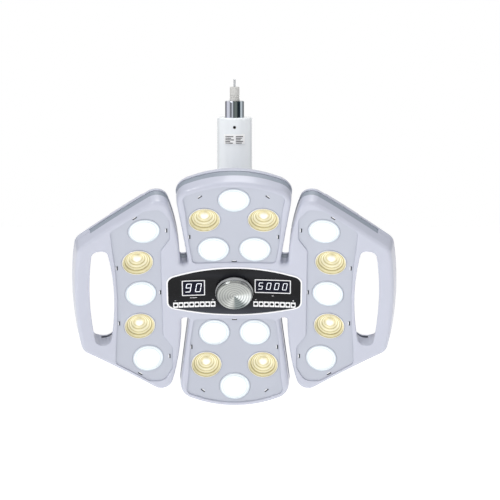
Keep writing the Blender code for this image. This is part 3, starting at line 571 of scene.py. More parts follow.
def newTree(name, inputs):
    tree = bpy.data.node_groups.new(name, "GeometryNodeTree")
    tree.interface.new_socket(name="Places", in_out="INPUT", socket_type="NodeSocketGeometry")
    ids = {}
    for label, kind in inputs:
        ids[label] = tree.interface.new_socket(name=label, in_out="INPUT", socket_type=kind).identifier
    tree.interface.new_socket(name="Result", in_out="OUTPUT", socket_type="NodeSocketGeometry")
    return tree, ids


def link(tree, source, output, target, socket):
    tree.links.new(source.outputs[output], target.inputs[socket])


def closeTree(tree, start, instances):
    realize = tree.nodes.new("GeometryNodeRealizeInstances")
    paint = tree.nodes.new("GeometryNodeSetMaterial")
    end = tree.nodes.new("NodeGroupOutput")
    link(tree, instances, "Instances", realize, "Geometry")
    link(tree, realize, "Geometry", paint, "Geometry")
    link(tree, start, "Finish", paint, "Material")
    link(tree, paint, "Geometry", end, "Result")


def spreadTree():
    # one part on every given point, turned by that point's own angle
    tree, ids = newTree("spread_parts", [("Part", "NodeSocketObject"), ("Size", "NodeSocketFloat"),
                                         ("Finish", "NodeSocketMaterial")])
    start = tree.nodes.new("NodeGroupInput")
    info = tree.nodes.new("GeometryNodeObjectInfo")
    angle = tree.nodes.new("GeometryNodeInputNamedAttribute")
    angle.data_type = "FLOAT_VECTOR"
    angle.inputs["Name"].default_value = "turn"
    place = tree.nodes.new("GeometryNodeInstanceOnPoints")
    link(tree, start, "Places", place, "Points")
    link(tree, start, "Part", info, "Object")
    link(tree, info, "Geometry", place, "Instance")
    link(tree, angle, "Attribute", place, "Rotation")
    link(tree, start, "Size", place, "Scale")
    closeTree(tree, start, place)
    return tree, ids


def rowTree():
    # one part repeated along x at an even pitch
    tree, ids = newTree("row_of_parts", [("Part", "NodeSocketObject"), ("Count", "NodeSocketInt"),
                                         ("Start", "NodeSocketVector"), ("Pitch", "NodeSocketVector"),
                                         ("Finish", "NodeSocketMaterial")])
    start = tree.nodes.new("NodeGroupInput")
    info = tree.nodes.new("GeometryNodeObjectInfo")
    line = tree.nodes.new("GeometryNodeMeshLine")
    place = tree.nodes.new("GeometryNodeInstanceOnPoints")
    link(tree, start, "Count", line, "Count")
    link(tree, start, "Start", line, "Start Location")
    link(tree, start, "Pitch", line, "Offset")
    link(tree, line, "Mesh", place, "Points")
    link(tree, start, "Part", info, "Object")
    link(tree, info, "Geometry", place, "Instance")
    closeTree(tree, start, place)
    return tree, ids


spreading, rowing = spreadTree(), rowTree()


def grown(tree, mesh, values):
    # runs a tree once on a mesh of places and returns the plain result
    nodeTree, ids = tree
    source = working(mesh)
    step = source.modifiers.new("Repeat", "NODES")
    step.node_group = nodeTree
    for label, value in values.items():
        step[ids[label]] = value
    bpy.context.view_layer.update()
    made = bpy.data.meshes.new_from_object(source.evaluated_get(bpy.context.evaluated_depsgraph_get()))
    bpy.data.objects.remove(source, do_unlink=True)
    return made


def spread(part, places, finish, size=1.0):
    # places are (x, v, w, turn about w)
    mesh = bpy.data.meshes.new("places")
    mesh.from_pydata([place[:3] for place in places], [], [])
    turns = mesh.attributes.new("turn", "FLOAT_VECTOR", "POINT")
    for spot, place in zip(turns.data, places):
        spot.vector = (0, 0, place[3])
    holder = working(part)
    made = grown(spreading, mesh, {"Part": holder, "Size": size, "Finish": finishes[finish]})
    bpy.data.objects.remove(holder, do_unlink=True)
    return made


def row(part, count, start, pitch, finish):
    holder = working(part)
    values = {"Part": holder, "Count": count, "Start": start, "Pitch": pitch, "Finish": finishes[finish]}
    made = grown(rowing, bpy.data.meshes.new("none"), values)
    bpy.data.objects.remove(holder, do_unlink=True)
    return made


head = {
    "topArc": (0.0505, 0.140, math.radians(22)), "slotEnd": 0.046,
    "petalCorner": (0.0766, 0.1705, 0.024), "petalRoot": (0.061, 0.046, 0.004),
    "wingRootX": 0.0714, "wingFlare": 0.0141, "wingFlareV": 0.104,
    "wingApex": (0.0912, 0.170, 0.016), "wingCorner": (0.2065, 0.0875, 0.018),
    "handleX": 0.2135, "handleArc": 0.584,
    "gripIn": (0.161, 1.2), "gripOut": (0.194, 0.95), "gripEnd": 0.080, "gripCorner": 0.010,
}
petals = ("top", "bottom", "left", "right")


def headOutline():
    quadrant = arcRun(*head["topArc"], 12)
    quadrant += [head["petalCorner"], head["petalRoot"], (head["wingRootX"], head["slotEnd"], 0.004)]
    for k in range(1, 8):
        share = k / 8
        quadrant.append((head["wingRootX"] + head["wingFlare"] * share ** 2,
                         head["slotEnd"] + head["wingFlareV"] * share, 0))
    quadrant += [head["wingApex"], head["wingCorner"]]
    for k in range(6, -1, -1):
        v = 0.066 * k / 6
        quadrant.append((head["handleX"] - v * v / (2 * head["handleArc"]), v, 0))
    return rounded(mirrored(mirrored(quadrant, "Y"), "X"))


def gripOutline(side):
    # the hand hole between a wing and its handle bar
    (inX, inBow), (outX, outBow), end = head["gripIn"], head["gripOut"], head["gripEnd"]
    runs = [0.065 * k / 5 for k in range(6)]
    half = [(inX + inBow * v * v, v, 0) for v in runs]
    half.append((inX + inBow * end ** 2, end, head["gripCorner"]))
    half.append((outX - outBow * end ** 2, end, head["gripCorner"]))
    half += [(outX - outBow * v * v, v, 0) for v in reversed(runs)]
    return [Vector((side * p.x, p.y)) for p in rounded(mirrored(half, "Y"))]


def beltLimit():
    quadrant = [(0, 0.210, 0), (0.220, 0.210, 0), (0.191, 0.1025, 0), (0.1585, 0.084, 0.004), (0.1585, 0, 0)]
    return rounded(mirrored(mirrored(quadrant, "Y"), "X"))


def plateOutline(petal):
    if petal in ("top", "bottom"):
        sign = 1 if petal == "top" else -1
        half = arcRun(0.0505, 0.1335, math.radians(22), 12)
        half += [(0.067, 0.1674, 0.010), (0.0635, 0.140, 0), (0.060, 0.085, 0), (0.055, 0.0475, 0.006)]
        return [Vector((p.x, sign * p.y)) for p in rounded(mirrored(half, "X"))]
    sign = 1 if petal == "right" else -1
    half = [(0.097, 0, 0), (0.097, 0.072, 0.010), (0.0845, 0.092, 0.012), (0.0845, 0.126, 0.015),
            (0.0968, 0.1462, 0.012), (0.1172, 0.145, 0.010), (0.1628, 0.1122, 0.008), (0.1615, 0.085, 0),
            (0.1583, 0.045, 0), (0.157, 0, 0)]
    return [Vector((sign * p.x, p.y)) for p in rounded(mirrored(half, "Y"))]


def panelOutline():
    quadrant = [(0.072 * k / 8, 0.039 - (0.072 * k / 8) ** 2 / 0.520, 0) for k in range(9)]
    quadrant += [(0.089, 0.0242, 0.011), (0.089, 0, 0)]
    return rounded(mirrored(mirrored(quadrant, "Y"), "X"))


# cuts run well past the walls they open
covers = {"wall": 0.0025, "round": 0.0052, "lip": 0.0016, "frontDepth": 0.015, "handleSplit": 0.0187,
          "beltDepth": 0.0086, "beltInset": 0.0008, "beltWidth": 0.004, "beltEdge": 0.0004, "clear": 0.0002,
          "rearDepth": 0.030, "rearLip": 0.003, "padDepth": 0.038, "padRoot": 0.020, "padRound": 0.004,
          "padInset": 0.001, "hubWide": 0.044, "hubNarrow": 0.025, "hubEnd": -0.052, "hubBore": 0.0142,
          "gripSlope": 0.17, "gripGrow": 0.003}
outline = headOutline()
gripHoles = [gripOutline(-1), gripOutline(1)]
plates = {petal: plateOutline(petal) for petal in petals}
panelLine = panelOutline()
sheet = rectangle(0, 0, 0.5, 0.5)


def gripRelief(side, high, grow):
    # widens a hand hole towards the back, so that its walls run straight back past the bowl's slope
    mesh = slab(gripOutline(side), -0.06, high, (), 0, grow)
    for vert in mesh.vertices:
        vert.co.x += side * covers["gripSlope"] * vert.co.z
    return mesh


def makeFrontCover():
    shell = slab(outline, -covers["rearDepth"], 0, (), covers["round"], facets=4)
    openings = gripHoles + list(plates.values()) + [panelLine]
    lipped = slab(sheet, -0.06, covers["clear"], openings, covers["lip"], gap / 2)
    cuts = [slab(sheet, -0.06, -covers["handleSplit"]), slab(beltLimit(), -0.06, -covers["frontDepth"])]
    cuts.append(slab(outline, -0.05, -covers["wall"], gripHoles, 0, -covers["wall"]))
    cuts += [gripRelief(side, -covers["lip"], 0) for side in (-1, 1)]
    shell = combined(shell, [lipped], "INTERSECT")
    shell = combined(shell, cuts, "DIFFERENCE")
    nodes = ("front_cover", "left_grip", "right_grip")
    piece(onFace(shell), "frontCover", "cover", "head", nodes)


def makeRearCover():
    shell = slab(outline, -covers["rearDepth"], 0, (), covers["round"], facets=4)
    lipped = slab(sheet, -covers["rearDepth"] - covers["clear"], 0.02, gripHoles, covers["rearLip"])
    shell = combined(shell, [lipped], "INTERSECT")
    depth, root, soft = covers["padDepth"], covers["padRoot"], covers["padRound"]
    pads = [slab(plates[petal], -depth, -root, (), soft, -covers["padInset"]) for petal in petals]
    pads.append(slab(panelLine, -depth, -root, (), soft))
    wide, narrow, end = covers["hubWide"], covers["hubNarrow"], covers["hubEnd"]
    hub = [(0, -0.025), (wide, -0.025), (wide, -0.0365), (wide - 0.001, -0.0385),
           (narrow + 0.0015, end + 0.0016), (narrow - 0.0005, end), (0, end)]
    pads.append(turned(hub, 72))
    shell = combined(shell, pads, "UNION")
    cuts = [slab(sheet, -covers["handleSplit"] - gap, 0.03)]
    cuts.append(slab(beltLimit(), -covers["frontDepth"] - covers["beltDepth"], 0.03))
    cuts.append(slab(outline, -covers["rearDepth"] + covers["wall"], 0.03, gripHoles, 0, -covers["wall"]))
    cuts.append(rod(covers["hubBore"], 0.01, -0.06, 72))
    cuts += [gripRelief(side, 0.01, covers["gripGrow"]) for side in (-1, 1)]
    shell = combined(shell, cuts, "DIFFERENCE")
    piece(onFace(shell), "rearCover", "cover", "head", ("rear_cover",))


def makeBelt():
    high = -covers["frontDepth"] - gap
    low = -covers["frontDepth"] - covers["beltDepth"] + gap
    limit = slab(beltLimit(), -0.05, 0.01, (), 0, -gap)
    ring = slab(outline, low, high, gripHoles, covers["beltEdge"], -covers["beltInset"], 1)
    belt = combined(ring, [limit], "INTERSECT")
    hollow = slab(outline, -0.05, 0.01, gripHoles, 0, -covers["beltInset"] - covers["beltWidth"])
    inner = slab(beltLimit(), -0.06, 0.02, (), 0, -covers["beltWidth"])
    belt = combined(belt, [combined(hollow, [inner], "INTERSECT")], "DIFFERENCE")
    piece(onFace(belt), "beltFrame", "belt", "head", ("belt_frame",))


makeFrontCover()
makeRearCover()
makeBelt()
print("covers made")

optics = {"plateFront": -0.0018, "plateBack": -0.0048, "lens": 0.0213, "neck": -0.0051, "flange": 0.0228,
          "flangeThick": 0.0014, "tail": 0.008, "depth": 0.0190}
petalLenses = ((0, 0.1585), (0.0387, 0.1231), (-0.0387, 0.1231), (0.0275, 0.0706), (-0.0275, 0.0706))
wingLenses = ((0.1183, 0.1082), (0.1282, 0.054), (0.1254, 0), (0.1282, -0.054), (0.1183, -0.1082))
lenses = {"top": petalLenses, "bottom": [(x, -v) for x, v in petalLenses],
          "right": wingLenses, "left": [(-x, v) for x, v in wingLenses]}
warm = {"top": (2, 3), "bottom": (2, 3), "left": (2, 4), "right": (2, 4)}


def makePlate(petal):
    holes = [circle(x, v, optics["lens"] + gap / 2) for x, v in lenses[petal]]
    plate = slab(plates[petal], optics["plateBack"], optics["plateFront"], holes, 0.0005, 0.0, 2)
    piece(onFace(plate), "lensPlate_" + petal, "plate", "head", ("lens_plate_" + petal,))


def coolProfile():
    # a rim, a groove and a low frosted dome
    rim, front = optics["lens"], optics["plateFront"]
    dome = [(0.0182 * k / 9, front + 0.0016 - 0.0012 * (k / 9) ** 2) for k in range(10)]
    edge = [(0.0186, front - 0.0002), (0.0190, front - 0.0002), (0.0194, front + 0.0005),
            (0.0200, front + 0.0009), (0.0207, front + 0.0008), (rim, front)]
    return dome + edge


def warmProfile():
    # a rim round a stepped reflector cup, with the lamp's own lens at the bottom
    rim, front = optics["lens"], optics["plateFront"]
    lamp = [(0, -0.0075), (0.0022, -0.0077), (0.0044, -0.0085), (0.0060, -0.0100), (0.0066, -0.0114)]
    cup = []
    for k in range(4):
        inner, low = 0.0075 + 0.0029 * k, -0.0112 + 0.0021 * k
        cup += [(inner, low), (inner + 0.0024, low + 0.0009), (inner + 0.0027, low + 0.0018)]
    edge = [(0.0194, front + 0.0004), (0.0200, front + 0.0008), (0.0207, front + 0.0008), (rim, front)]
    return lamp + cup + edge


def makeLens(petal, index, centre):
    isWarm = index in warm[petal]
    profile = warmProfile() if isWarm else coolProfile()
    neck, flange, depth = optics["neck"], optics["flange"], optics["depth"]
    profile += [(optics["lens"], neck), (flange, neck), (flange, neck - optics["flangeThick"]),
                (optics["tail"], -depth), (0, -depth)]
    mesh = turned(profile, 64, centre, optics["lens"])
    name = "%s_%d" % (petal, index)
    kind, slot = ("warm", "lens_warm") if isWarm else ("cool", "lens_cool")
    piece(onFace(mesh), "lens_" + kind + "_" + name, kind, "head", ("lens_" + name,), 50, False)


for petal in petals:
    makePlate(petal)
    for index, centre in enumerate(lenses[petal], 1):
        makeLens(petal, index, centre)

clips = {"length": 0.0068, "width": 0.0017, "height": 0.0006, "tab": 0.0012, "tabShare": 0.7}
slant = math.atan2(0.1122 - 0.145, 0.1628 - 0.1172)     # the wing plate's slanted edge
upright = math.pi / 2
clipSpots = []
for sv in (1, -1):
    clipSpots += [(sx * 0.044, sv * 0.165, sx * sv * -0.75) for sx in (1, -1)]
    clipSpots += [(sx * 0.0583, sv * 0.0937, upright) for sx in (1, -1)]
    clipSpots.append((0, sv * 0.0495, 0))
    for sx in (1, -1):
        clipSpots += [(sx * 0.1298, sv * 0.1325, sx * sv * slant), (sx * 0.0885, sv * 0.107, upright),
                      (sx * 0.1555, sv * 0.047, upright)]
clipSpots += [(sx * 0.0990, 0, upright) for sx in (1, -1)]


def makeClips():
    high, share = clips["height"], clips["tabShare"]
    hookLine = rectangle(0, 0, clips["length"], clips["width"], 0.0005)
    tabLine = rectangle(0, clips["tab"], clips["length"] * share, clips["tab"], 0.0003)
    hook = slab(hookLine, 0, high, (), 0.0002, 0, 1)
    tab = slab(tabLine, 0, high * share, (), 0.0001, 0, 1)
    places = [(x, v, optics["plateFront"], turn) for x, v, turn in clipSpots]
    dark = spread(hook, places, "clip")
    light = spread(tab, places, "rim")
    piece(onFace(dark), "plateClips", "clip", "head")
    piece(onFace(light), "plateClipTabs", "rim", "head")


makeClips()
print("optics made")

panel = {"front": 0.0006, "back": -0.0022, "hole": 0.010, "frame": 0.0013, "rim": 0.0019,
         "two": (-0.0548, 0.0065, 0.031, 0.026), "four": (0.0515, 0.0089, 0.0485, 0.023),
         "rowX": 0.0540, "rowV": -0.0214, "pitch": 0.0072, "lamps": 8, "boxWide": 0.0066, "boxHigh": 0.0090,
         "signV": -0.0143}
digitShape = {"stroke": 0.068, "trim": 0.35, "cell": 0.47, "lean": math.radians(9), "base": 0.0002,
              "thick": 0.0003, "shown": {"0": "ABCDEF", "5": "ACDFG", "9": "ABCDFG"}}


def makePanel():
    spots = (panel["two"], panel["four"])
    openings = [rectangle(x, v, wide + 2 * gap, high + 2 * gap) for x, v, wide, high in spots]
    openings.append(circle(0, 0, panel["hole"]))
    plate = slab(panelLine, panel["back"], panel["front"], openings, 0.0003, -gap, 1)
    piece(onFace(plate), "controlPanel", "panel", "head", ("control_panel",))
    bead = slab(panelLine, -0.0010, 0.0011, (), 0.0005, panel["rim"], 2)
    bead = combined(bead, [slab(panelLine, -0.01, 0.01, (), 0, gap / 3)], "DIFFERENCE")
    piece(onFace(bead), "panelRim", "rim", "head")


def makeWindow(name, node, spot, digits, digitHeight, step):
    x, v, wide, high = spot
    base, line = digitShape["base"], panel["frame"]
    glass = slab(rectangle(x, v, wide, high, 0.0006), -0.0052, base, (), 0.0002, 0, 1)
    piece(onFace(glass), name + "Glass", "window", "head", (node,))
    frameBar = slab(rectangle(x, v, wide, high, 0.0010), base, 0.0009,
                    [rectangle(x, v, wide - 2 * line, high - 2 * line, 0.0006)], 0.0002, 0, 1)
    piece(onFace(frameBar), name + "Frame", "mark", "head")
    thick, tall = digitHeight * digitShape["stroke"], digitHeight / 2
    long = tall - thick * digitShape["trim"]
    tip = thick / 2
    flat = long / 2 - tip
    corners = ((-long / 2, 0), (-flat, -tip), (flat, -tip), (long / 2, 0), (flat, tip), (-flat, tip))
    bar = slab([Vector(corner) for corner in corners], 0, digitShape["thick"])
    cell = digitHeight * digitShape["cell"]
    strokes = {"A": (0, tall, 0), "B": (cell / 2, tall / 2, upright), "C": (cell / 2, -tall / 2, upright),
               "D": (0, -tall, 0), "E": (-cell / 2, -tall / 2, upright), "F": (-cell / 2, tall / 2, upright),
               "G": (0, 0, 0)}
    places = []
    for k, digit in enumerate(digits):
        for stroke in digitShape["shown"][digit]:
            sx, sv, turn = strokes[stroke]
            places.append(((k - (len(digits) - 1) / 2) * step + sx, sv, base, turn))
    mesh = spread(bar, places, "digit")
    lean = Matrix.Identity(4)
    lean[0][1] = math.tan(digitShape["lean"])
    mesh.transform(Matrix.Translation((x, v, 0)) @ lean)
    piece(onFace(mesh), name + "Digits", "digit", "head", (), 38, False)


def makeMarks():
    front, signV = panel["front"], panel["signV"]
    low, printed, raised = front - 0.0001, front + 0.0002, front + 0.0004
    box = rectangle(0, 0, panel["boxWide"], panel["boxHigh"], 0.0008)
    ring = slab(box, low, raised, [circle(0, 0, 0.0023, 24)], 0.0001, 0, 1)
    dot = turned([(0, raised), (0.0012, front + 0.0003), (0.0020, low), (0, low)], 24)
    halfRow = (panel["lamps"] - 1) / 2 * panel["pitch"]
    small = slab(rectangle(0, 0, 0.0022, 0.0006), low, printed)
    speck = slab(circle(0, 0, 0.0005, 12), low, printed)
    plain = [row(speck, 7, (panel["two"][0] - 0.0042, -0.0100, 0), (0.0014, 0, 0), "mark")]
    signs = []
    for side in (-1, 1):
        first, last = side * panel["rowX"] - halfRow, side * panel["rowX"] + halfRow
        start, step = (first, panel["rowV"], 0), (panel["pitch"], 0, 0)
        boxes = row(ring.copy(), panel["lamps"], start, step, "mark")
        lamps = row(dot.copy(), panel["lamps"], start, step, "lamp")
        name = "left" if side < 0 else "right"
        piece(onFace(boxes), name + "LevelBoxes", "mark", "head")
        piece(onFace(lamps), name + "LevelLamps", "lamp", "head")
        signs += [(first, signV, 0, 0), (last, signV, 0, 0), (last, signV, 0, upright)]
    signs.append((panel["four"][0], -0.0072, 0, 0))
    plain.append(spread(small, signs, "mark"))
    piece(onFace(joined(plain)), "panelMarks", "mark", "head")


makePanel()
makeWindow("twoDigit", "display_two_digit", panel["two"], "90", 0.0135, 0.0134)
makeWindow("fourDigit", "display_four_digit", panel["four"], "5000", 0.0108, 0.0108)
makeMarks()
print("panel made")

knob = {"radius": 0.0252, "front": 0.0126, "back": 0.0028, "dish": 0.0012, "face": 0.0190, "wall": 0.0027,
        "shoulder": (0.0052, 0.0088), "roof": 0.003, "groove": 0.0004, "boss": 0.006, "bore": 0.0033,
        "bossEnd": 0.0042}


def makeKnob():
    front, back, radius = knob["front"], knob["back"], knob["radius"]
    across, deep = knob["shoulder"]
    groove, inner, roof = radius - knob["groove"], radius - knob["wall"], front - knob["roof"]
    face = [(knob["face"] * k / 12, front - knob["dish"] + 0.0005 * (k / 12) ** 2) for k in range(13)]
    rim = [(0.0194, front - 0.0005), (0.0197, front - 0.0002), (0.0200, front)]
    rim += [(radius - across * (1 - math.sin(a)), front - deep * (1 - math.cos(a)))
            for a in [math.radians(10 * k) for k in range(1, 10)]]
    skirt = [(radius, back + 0.0030), (groove, back + 0.0026), (groove, back + 0.0022),
             (radius, back + 0.0018), (radius, back + 0.0004), (groove, back), (inner, back)]
    inside = [(inner, roof), (knob["boss"], roof), (knob["boss"], knob["bossEnd"]),
              (knob["bore"], knob["bossEnd"]), (knob["bore"], roof), (0, roof)]
    mesh = turned(face + rim + skirt + inside, 96, (0, 0), radius)
    piece(onFace(mesh, False), "knobCap", "knob", "knob", ("knob",), 30)


makeKnob()
print("knob made")

column = {"tube": 0.024, "wall": 0.021, "top": -0.022, "capEnd": -0.028, "end": -0.165, "round": 0.002,
          "screwZ": -0.0345, "screwHole": 0.0021, "screw": 0.0018, "socket": 0.0009}
label = {"half": math.radians(35), "top": -0.044, "end": -0.057, "thick": 0.0004, "ink": 0.0001,
         "firstLine": 0.0024, "pitch": 0.0022, "lineHigh": 0.0011, "lines": (0.10, 0.30, 0.05, 0.40, 0.15)}
spigot = {"radius": 0.013, "bore": 0.0071, "end": -0.070, "grooveRadius": 0.0117, "grooveTop": -0.0603,
          "grooveEnd": -0.0629, "insulator": 0.0066, "pin": 0.0015}
hinge = {"slot": (0.028, 0.1, 0.078), "pinHole": 0.0053, "sink": 0.0078, "plug": 0.0207, "stemNeck": 0.008,
         "stem": 0.0112, "edge": 0.0005}
tiltPlace = Vector(joints["head_tilt"]["pos_m"])


def softened(mesh, width):
    # a machined piece with its edges broken
    source = working(mesh)
    bevel = source.modifiers.new("Edges", "BEVEL")
    bevel.width = width
    bevel.segments = 2
    bevel.limit_method = "ANGLE"
    bevel.angle_limit = math.radians(35)
    return baked(source)


def alongX(mesh):
    mesh.transform(Matrix.Rotation(math.radians(90), 4, "Y"))
    return mesh


def atTilt(mesh):
    mesh.transform(Matrix.Translation(tiltPlace))
    return mesh


def makeColumn():
    outer, top, end, soft = column["tube"], column["top"], column["end"], column["round"]
    clear = spigot["radius"] + gap
    shoulder = [(clear, top)]
    shoulder += [(outer - soft + soft * math.sin(a), top - soft + soft * math.cos(a))
                 for a in [math.radians(15 * k) for k in range(7)]]
    lower = [(outer, end + 0.0006), (outer - 0.0006, end), (column["wall"], end),
             (column["wall"], column["capEnd"]), (clear, column["capEnd"])]
    tube = turned(shoulder + lower, 96)
    facing = Matrix.Translation((0, 0, column["screwZ"])) @ Matrix.Rotation(math.radians(90), 4, "X")
    hole = rod(column["screwHole"], 0.04, 0.010, 32)
    hole.transform(facing)
    tube = combined(tube, [hole], "DIFFERENCE")
    piece(tube, "columnTube", "column", "column", ("column_tube",), 30)
    inner, radius = column["socket"], column["screw"]
    screw = turned([(0, 0.0215), (inner, 0.0215), (inner, 0.0236), (0.0014, 0.0236), (radius, 0.0232),
                    (radius, 0.0170), (0, 0.0170)], 24)
    screw.transform(facing)
    piece(screw, "columnSetScrew", "blackScrew", "column", ("column_set_screw",), 30)


def patch(radius, thick, fromAngle, toAngle, low, high, steps=24):
    # a thin curved strip on the column, angles measured from the front
    shape = bmesh.new()
    rows = []
    for k in range(steps + 1):
        angle = fromAngle + (toAngle - fromAngle) * k / steps
        reach = Vector((math.sin(angle), -math.cos(angle), 0))
        corners = ((radius, low), (radius + thick, low), (radius + thick, high), (radius, high))
        rows.append([shape.verts.new(reach * r + Vector((0, 0, z))) for r, z in corners])
    for first, second in zip(rows, rows[1:]):
        for k in range(4):
            shape.faces.new((first[k], second[k], second[(k + 1) % 4], first[(k + 1) % 4]))
    shape.faces.new(rows[0])
    shape.faces.new(rows[-1][::-1])
    bmesh.ops.recalc_face_normals(shape, faces=shape.faces)
    mesh = bpy.data.meshes.new("patch")
    shape.to_mesh(mesh)
    shape.free()
    return mesh


def makeLabel():
    half, thick = label["half"], label["thick"]
    film = patch(column["tube"] + gap, thick, -half, half, label["end"], label["top"])
    piece(film, "ratingLabel", "label", "column", ("rating_plate",))
    left = [(-0.85, -stop) for stop in label["lines"]]
    right = [(0.12, 0.80 - 0.12 * (k % 3)) for k in range(5)]
    bars = []
    for lines in (left, right):
        for k, (start, stop) in enumerate(lines):
            z = label["top"] - label["firstLine"] - label["pitch"] * k
            reach = column["tube"] + gap + thick
            bars.append(patch(reach, label["ink"], start * half, stop * half, z - label["lineHigh"], z, 12))
    piece(joined(bars), "labelPrint", "ink", "column")


def makeSpigot():
    radius, bore, end = spigot["radius"], spigot["bore"], spigot["end"]
    high, low = spigot["grooveTop"], spigot["grooveEnd"]
    mesh = turned([(bore, -0.0004), (bore + 0.0004, 0), (radius - 0.0010, 0), (radius - 0.0003, -0.0004),
                   (radius, -0.0012), (radius, high), (spigot["grooveRadius"], high),
                   (spigot["grooveRadius"], low), (radius, low), (radius, -0.0694), (radius - 0.0006, end),
                   (bore, end)], 96)
    piece(mesh, "mountSpigot", "chrome", "mount", ("mount_spigot",), 30)
    wide = spigot["insulator"]
    body = [(0.0018, 0.0190), (0.0060, 0.0190), (0.0064, 0.0187), (wide, 0.0182), (wide, 0.0082)]
    for z in (0.0076, 0.0050):
        body += [(wide, z), (0.0060, z - 0.0004), (0.0060, z - 0.0009), (wide, z - 0.0013)]
    body += [(0.0067, 0.0030), (0.0068, 0.0003), (0.0068, -0.012), (0.0018, -0.012)]
    piece(turned(body, 64), "contactInsulator", "insulator", "mount", ("contact_insulator",), 30)
    thin = spigot["pin"]
    pin = [(0, 0.0300), (0.0006, 0.0299), (0.0012, 0.0294), (thin, 0.0286), (thin, 0.0240),
           (0.0013, 0.0238), (0.0013, 0.0232), (thin, 0.0230), (thin, 0.004), (0, 0.004)]
    piece(turned(pin, 32), "contactPin", "steel", "mount", ("contact_pin",), 30)


def makeHinge():
    tube, plug, pinHole = column["tube"], hinge["plug"], hinge["pinHole"]
    top = column["end"] + 0.025 - tiltPlace.z
    collar = column["end"] - gap - tiltPlace.z
    profile = [(0, top), (plug - 0.001, top), (plug, top - 0.001), (plug, collar), (tube - 0.0006, collar),
               (tube, collar - 0.0006), (tube, -0.013), (tube - 0.0012, -0.017), (tube - 0.0042, -0.0200),
               (tube - 0.0080, -0.0215), (tube - 0.0100, -0.022), (0, -0.022)]
    cuts = [block(hinge["slot"], (0, 0, -0.011)), alongX(rod(pinHole, 0.04, -0.04, 32))]
    for side in (-1, 1):
        sink = alongX(rod(hinge["sink"], 0.03, 0.0208, 48))
        if side < 0:
            sink.transform(Matrix.Rotation(math.pi, 4, "Z"))
        cuts.append(sink)
    fork = softened(combined(turned(profile, 72), cuts, "DIFFERENCE"), hinge["edge"])
    piece(atTilt(fork), "tiltFork", "cast", "column", ("tilt_fork",), 32)
    half = [(0, 0.0235), (0.0030, 0.0234), (0.0058, 0.0230), (0.0072, 0.0223), (0.0075, 0.0215),
            (0.0075, 0.0211), (0.005, 0.0211)]
    rivet = turned(half + [(r, -w) for r, w in reversed(half)], 48)
    piece(atTilt(alongX(rivet)), "tiltRivet", "steel", "column", ("tilt_pin",), 30)
    barrel = alongX(turned([(0, 0.012), (0.0172, 0.012), (0.018, 0.0112), (0.018, -0.0112),
                            (0.0172, -0.012), (0, -0.012)], 72))
    neck, thick = hinge["stemNeck"], hinge["stem"]
    end = 0.004 - (faceCentre - tiltPlace).length
    stem = turned([(0, -0.0194), (0.0074, -0.0194), (neck, -0.0200), (neck, -0.0321), (0.0106, -0.0321),
                   (thick, -0.0327), (thick, end), (0, end)], 64)
    stem.transform(Matrix.Translation(-tiltPlace) @ facePlace)
    bore = alongX(rod(pinHole, 0.03, -0.03, 32))
    knuckle = combined(combined(barrel, [stem], "UNION"), [bore], "DIFFERENCE")
    piece(atTilt(knuckle), "tiltKnuckle", "cast", "tilt_arm", ("tilt_knuckle",), 32)


makeColumn()
makeLabel()
makeSpigot()
makeHinge()
print("column made")

back = {"screw": 0.0034, "padFace": -0.0380, "ribLong": 0.040, "ribWide": 0.0026, "ribPitch": 0.0065,
        "ribs": 7}


def makeBack():
    face, radius, pitch = back["padFace"], back["screw"], back["ribPitch"]
    screw = turned([(0, 0.0006), (0.0009, 0.0006), (0.0012, 0.0014), (0.0022, 0.0013), (0.0031, 0.0008),
                    (radius, 0.0001), (radius, -0.0008), (0, -0.0008)], 24)
    cross = [block(size, (0, 0, 0.0016)) for size in ((0.0040, 0.0008, 0.002), (0.0008, 0.0040, 0.002))]
    screw = combined(screw, cross, "DIFFERENCE")
    screw.transform(Matrix.Rotation(math.pi, 4, "X"))
    spots = [(sx * x, sv * v) for x, v in ((0.045, 0.160), (0.1420, 0.118), (0.105, 0.052))
             for sx in (-1, 1) for sv in (-1, 1)]
    screws = spread(screw, [(x, v, face, k * 0.7) for k, (x, v) in enumerate(spots)], "blackScrew")
    piece(onFace(screws), "rearScrews", "blackScrew", "head")
    rib = slab(rectangle(0, 0, back["ribLong"], back["ribWide"], 0.0012), -0.0010, 0.0010, (), 0.0006, 0, 2)
    ribs = []
    for sv in (-1, 1):
        for x, start in ((0, 0.095), (-0.128, 0.052), (0.128, 0.052)):
            places = [(x, sv * (start + pitch * k), face, 0) for k in range(back["ribs"])]
            ribs.append(spread(rib.copy(), places, "cover"))
    piece(onFace(joined(ribs)), "rearRibs", "cover", "head")


makeBack()

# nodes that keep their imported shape
kept = {"spigot_circlip": "steel", "column_bush": "brass", "tilt_washer_left": "darkPlastic",
        "tilt_washer_right": "darkPlastic", "stem_nut": "steel", "hub_plate": "steel", "roll_bush": "brass",
        "control_board": "circuit", "encoder_body": "darkPlastic", "encoder_plunger": "steel"}
kept.update({"led_board_" + petal: "board" for petal in petals})
kept.update({"heat_sink_" + petal: "cast" for petal in petals})
for node, finish in kept.items():
    for place in frame["nodes"][node].material_slots:
        place.material = finishes[finish]
print("kept nodes finished:", len(kept))

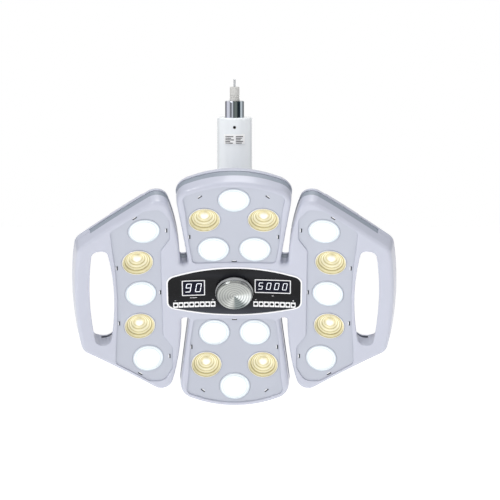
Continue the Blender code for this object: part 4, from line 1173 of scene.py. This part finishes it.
studio = {"aimRight": 0.021, "aimUp": 0.0547, "distance": 3.222, "elevation": math.radians(7.2),
          "lens": 173.0, "floorDrop": 0.45, "world": 0.46, "glossWorld": 0.90, "floorGlow": 0.58,
          "bands": ((0.0, 1.0), (0.50, 1.0), (0.62, 0.25), (0.80, 0.25), (0.92, 1.0), (1.0, 1.0))}
lift = studio["elevation"]
sight = Vector((0, -math.cos(lift), math.sin(lift)))
pictureUp = Vector((0, math.sin(lift), math.cos(lift)))
target = faceCentre + Vector((studio["aimRight"], 0, 0)) + pictureUp * studio["aimUp"]
camera = bpy.data.objects.new("camera", bpy.data.cameras.new("camera"))
bpy.context.scene.collection.objects.link(camera)
camera.data.lens = studio["lens"]
camera.data.clip_end = 50
camera.location = target + sight * studio["distance"]
camera.rotation_euler = (math.pi / 2 - lift, 0, 0)
bpy.context.scene.camera = camera


def softLight(name, place, size, power):
    lamp = bpy.data.objects.new(name, bpy.data.lights.new(name, "AREA"))
    lamp.data.shape = "DISK"
    lamp.data.size = size
    lamp.data.energy = power
    bpy.context.scene.collection.objects.link(lamp)
    lamp.location = place
    lamp.rotation_euler = (faceCentre - Vector(place)).to_track_quat("-Z", "Y").to_euler()


softLight("topLight", (0.2, -0.7, 2.2), 1.6, 30)
softLight("frontLight", (-1.9, -2.1, 1.3), 1.3, 31)
softLight("sideLight", (2.2, -1.4, 0.3), 0.9, 4)

floorMesh = slab(rectangle(0, 0, 12, 12, 0.5), -0.02, 0)
floorMesh.transform(Matrix.Translation((0, 0, cadBox[0][2] - studio["floorDrop"])))
paleFloor = plastic("studio_floor", "fbfbfb", 0.6, 0.0, 0.004)
floorShader = paleFloor.node_tree.nodes["Principled BSDF"]
floorShader.inputs["Emission Color"].default_value = (1, 1, 1, 1)
floorShader.inputs["Emission Strength"].default_value = studio["floorGlow"]
floorMesh.materials.append(paleFloor)
floor = working(floorMesh)
floor.name = "floor"

world = bpy.data.worlds.new("studio")
bpy.context.scene.world = world
world.use_nodes = True


def lightWorld(tree):
    # white behind the lamp; for everything it lights, soft light with two darker upright bands
    graph = Graph(tree)
    seen = tree.nodes["Background"]
    seen.inputs["Color"].default_value = (1, 1, 1, 1)
    seen.inputs["Strength"].default_value = 1.0
    side = graph.math("ABSOLUTE", graph.axis(graph.node("ShaderNodeTexCoord", out="Generated"), "X"))
    stops = [(place, (level, level, level)) for place, level in studio["bands"]]
    bands = graph.node("ShaderNodeValToRGB", {"stops": stops}, {"Fac": side}, "Color")
    glossy = graph.node("ShaderNodeLightPath", out="Is Glossy Ray")
    # metal mirrors a brighter room than the one that lights it
    levels = {"Value": glossy, "To Min": studio["world"], "To Max": studio["glossWorld"]}
    strength = graph.node("ShaderNodeMapRange", {}, levels, "Result")
    lighting = graph.node("ShaderNodeBackground", {}, {"Color": bands, "Strength": strength})
    sources = {"Fac": glossy.output("Is Camera Ray"), 1: lighting, 2: Wire(graph, seen.outputs["Background"])}
    blend = graph.node("ShaderNodeMixShader", {}, sources)
    graph.put(tree.nodes["World Output"].inputs["Surface"], blend)


lightWorld(world.node_tree)
bpy.context.scene.view_settings.view_transform = "Standard"
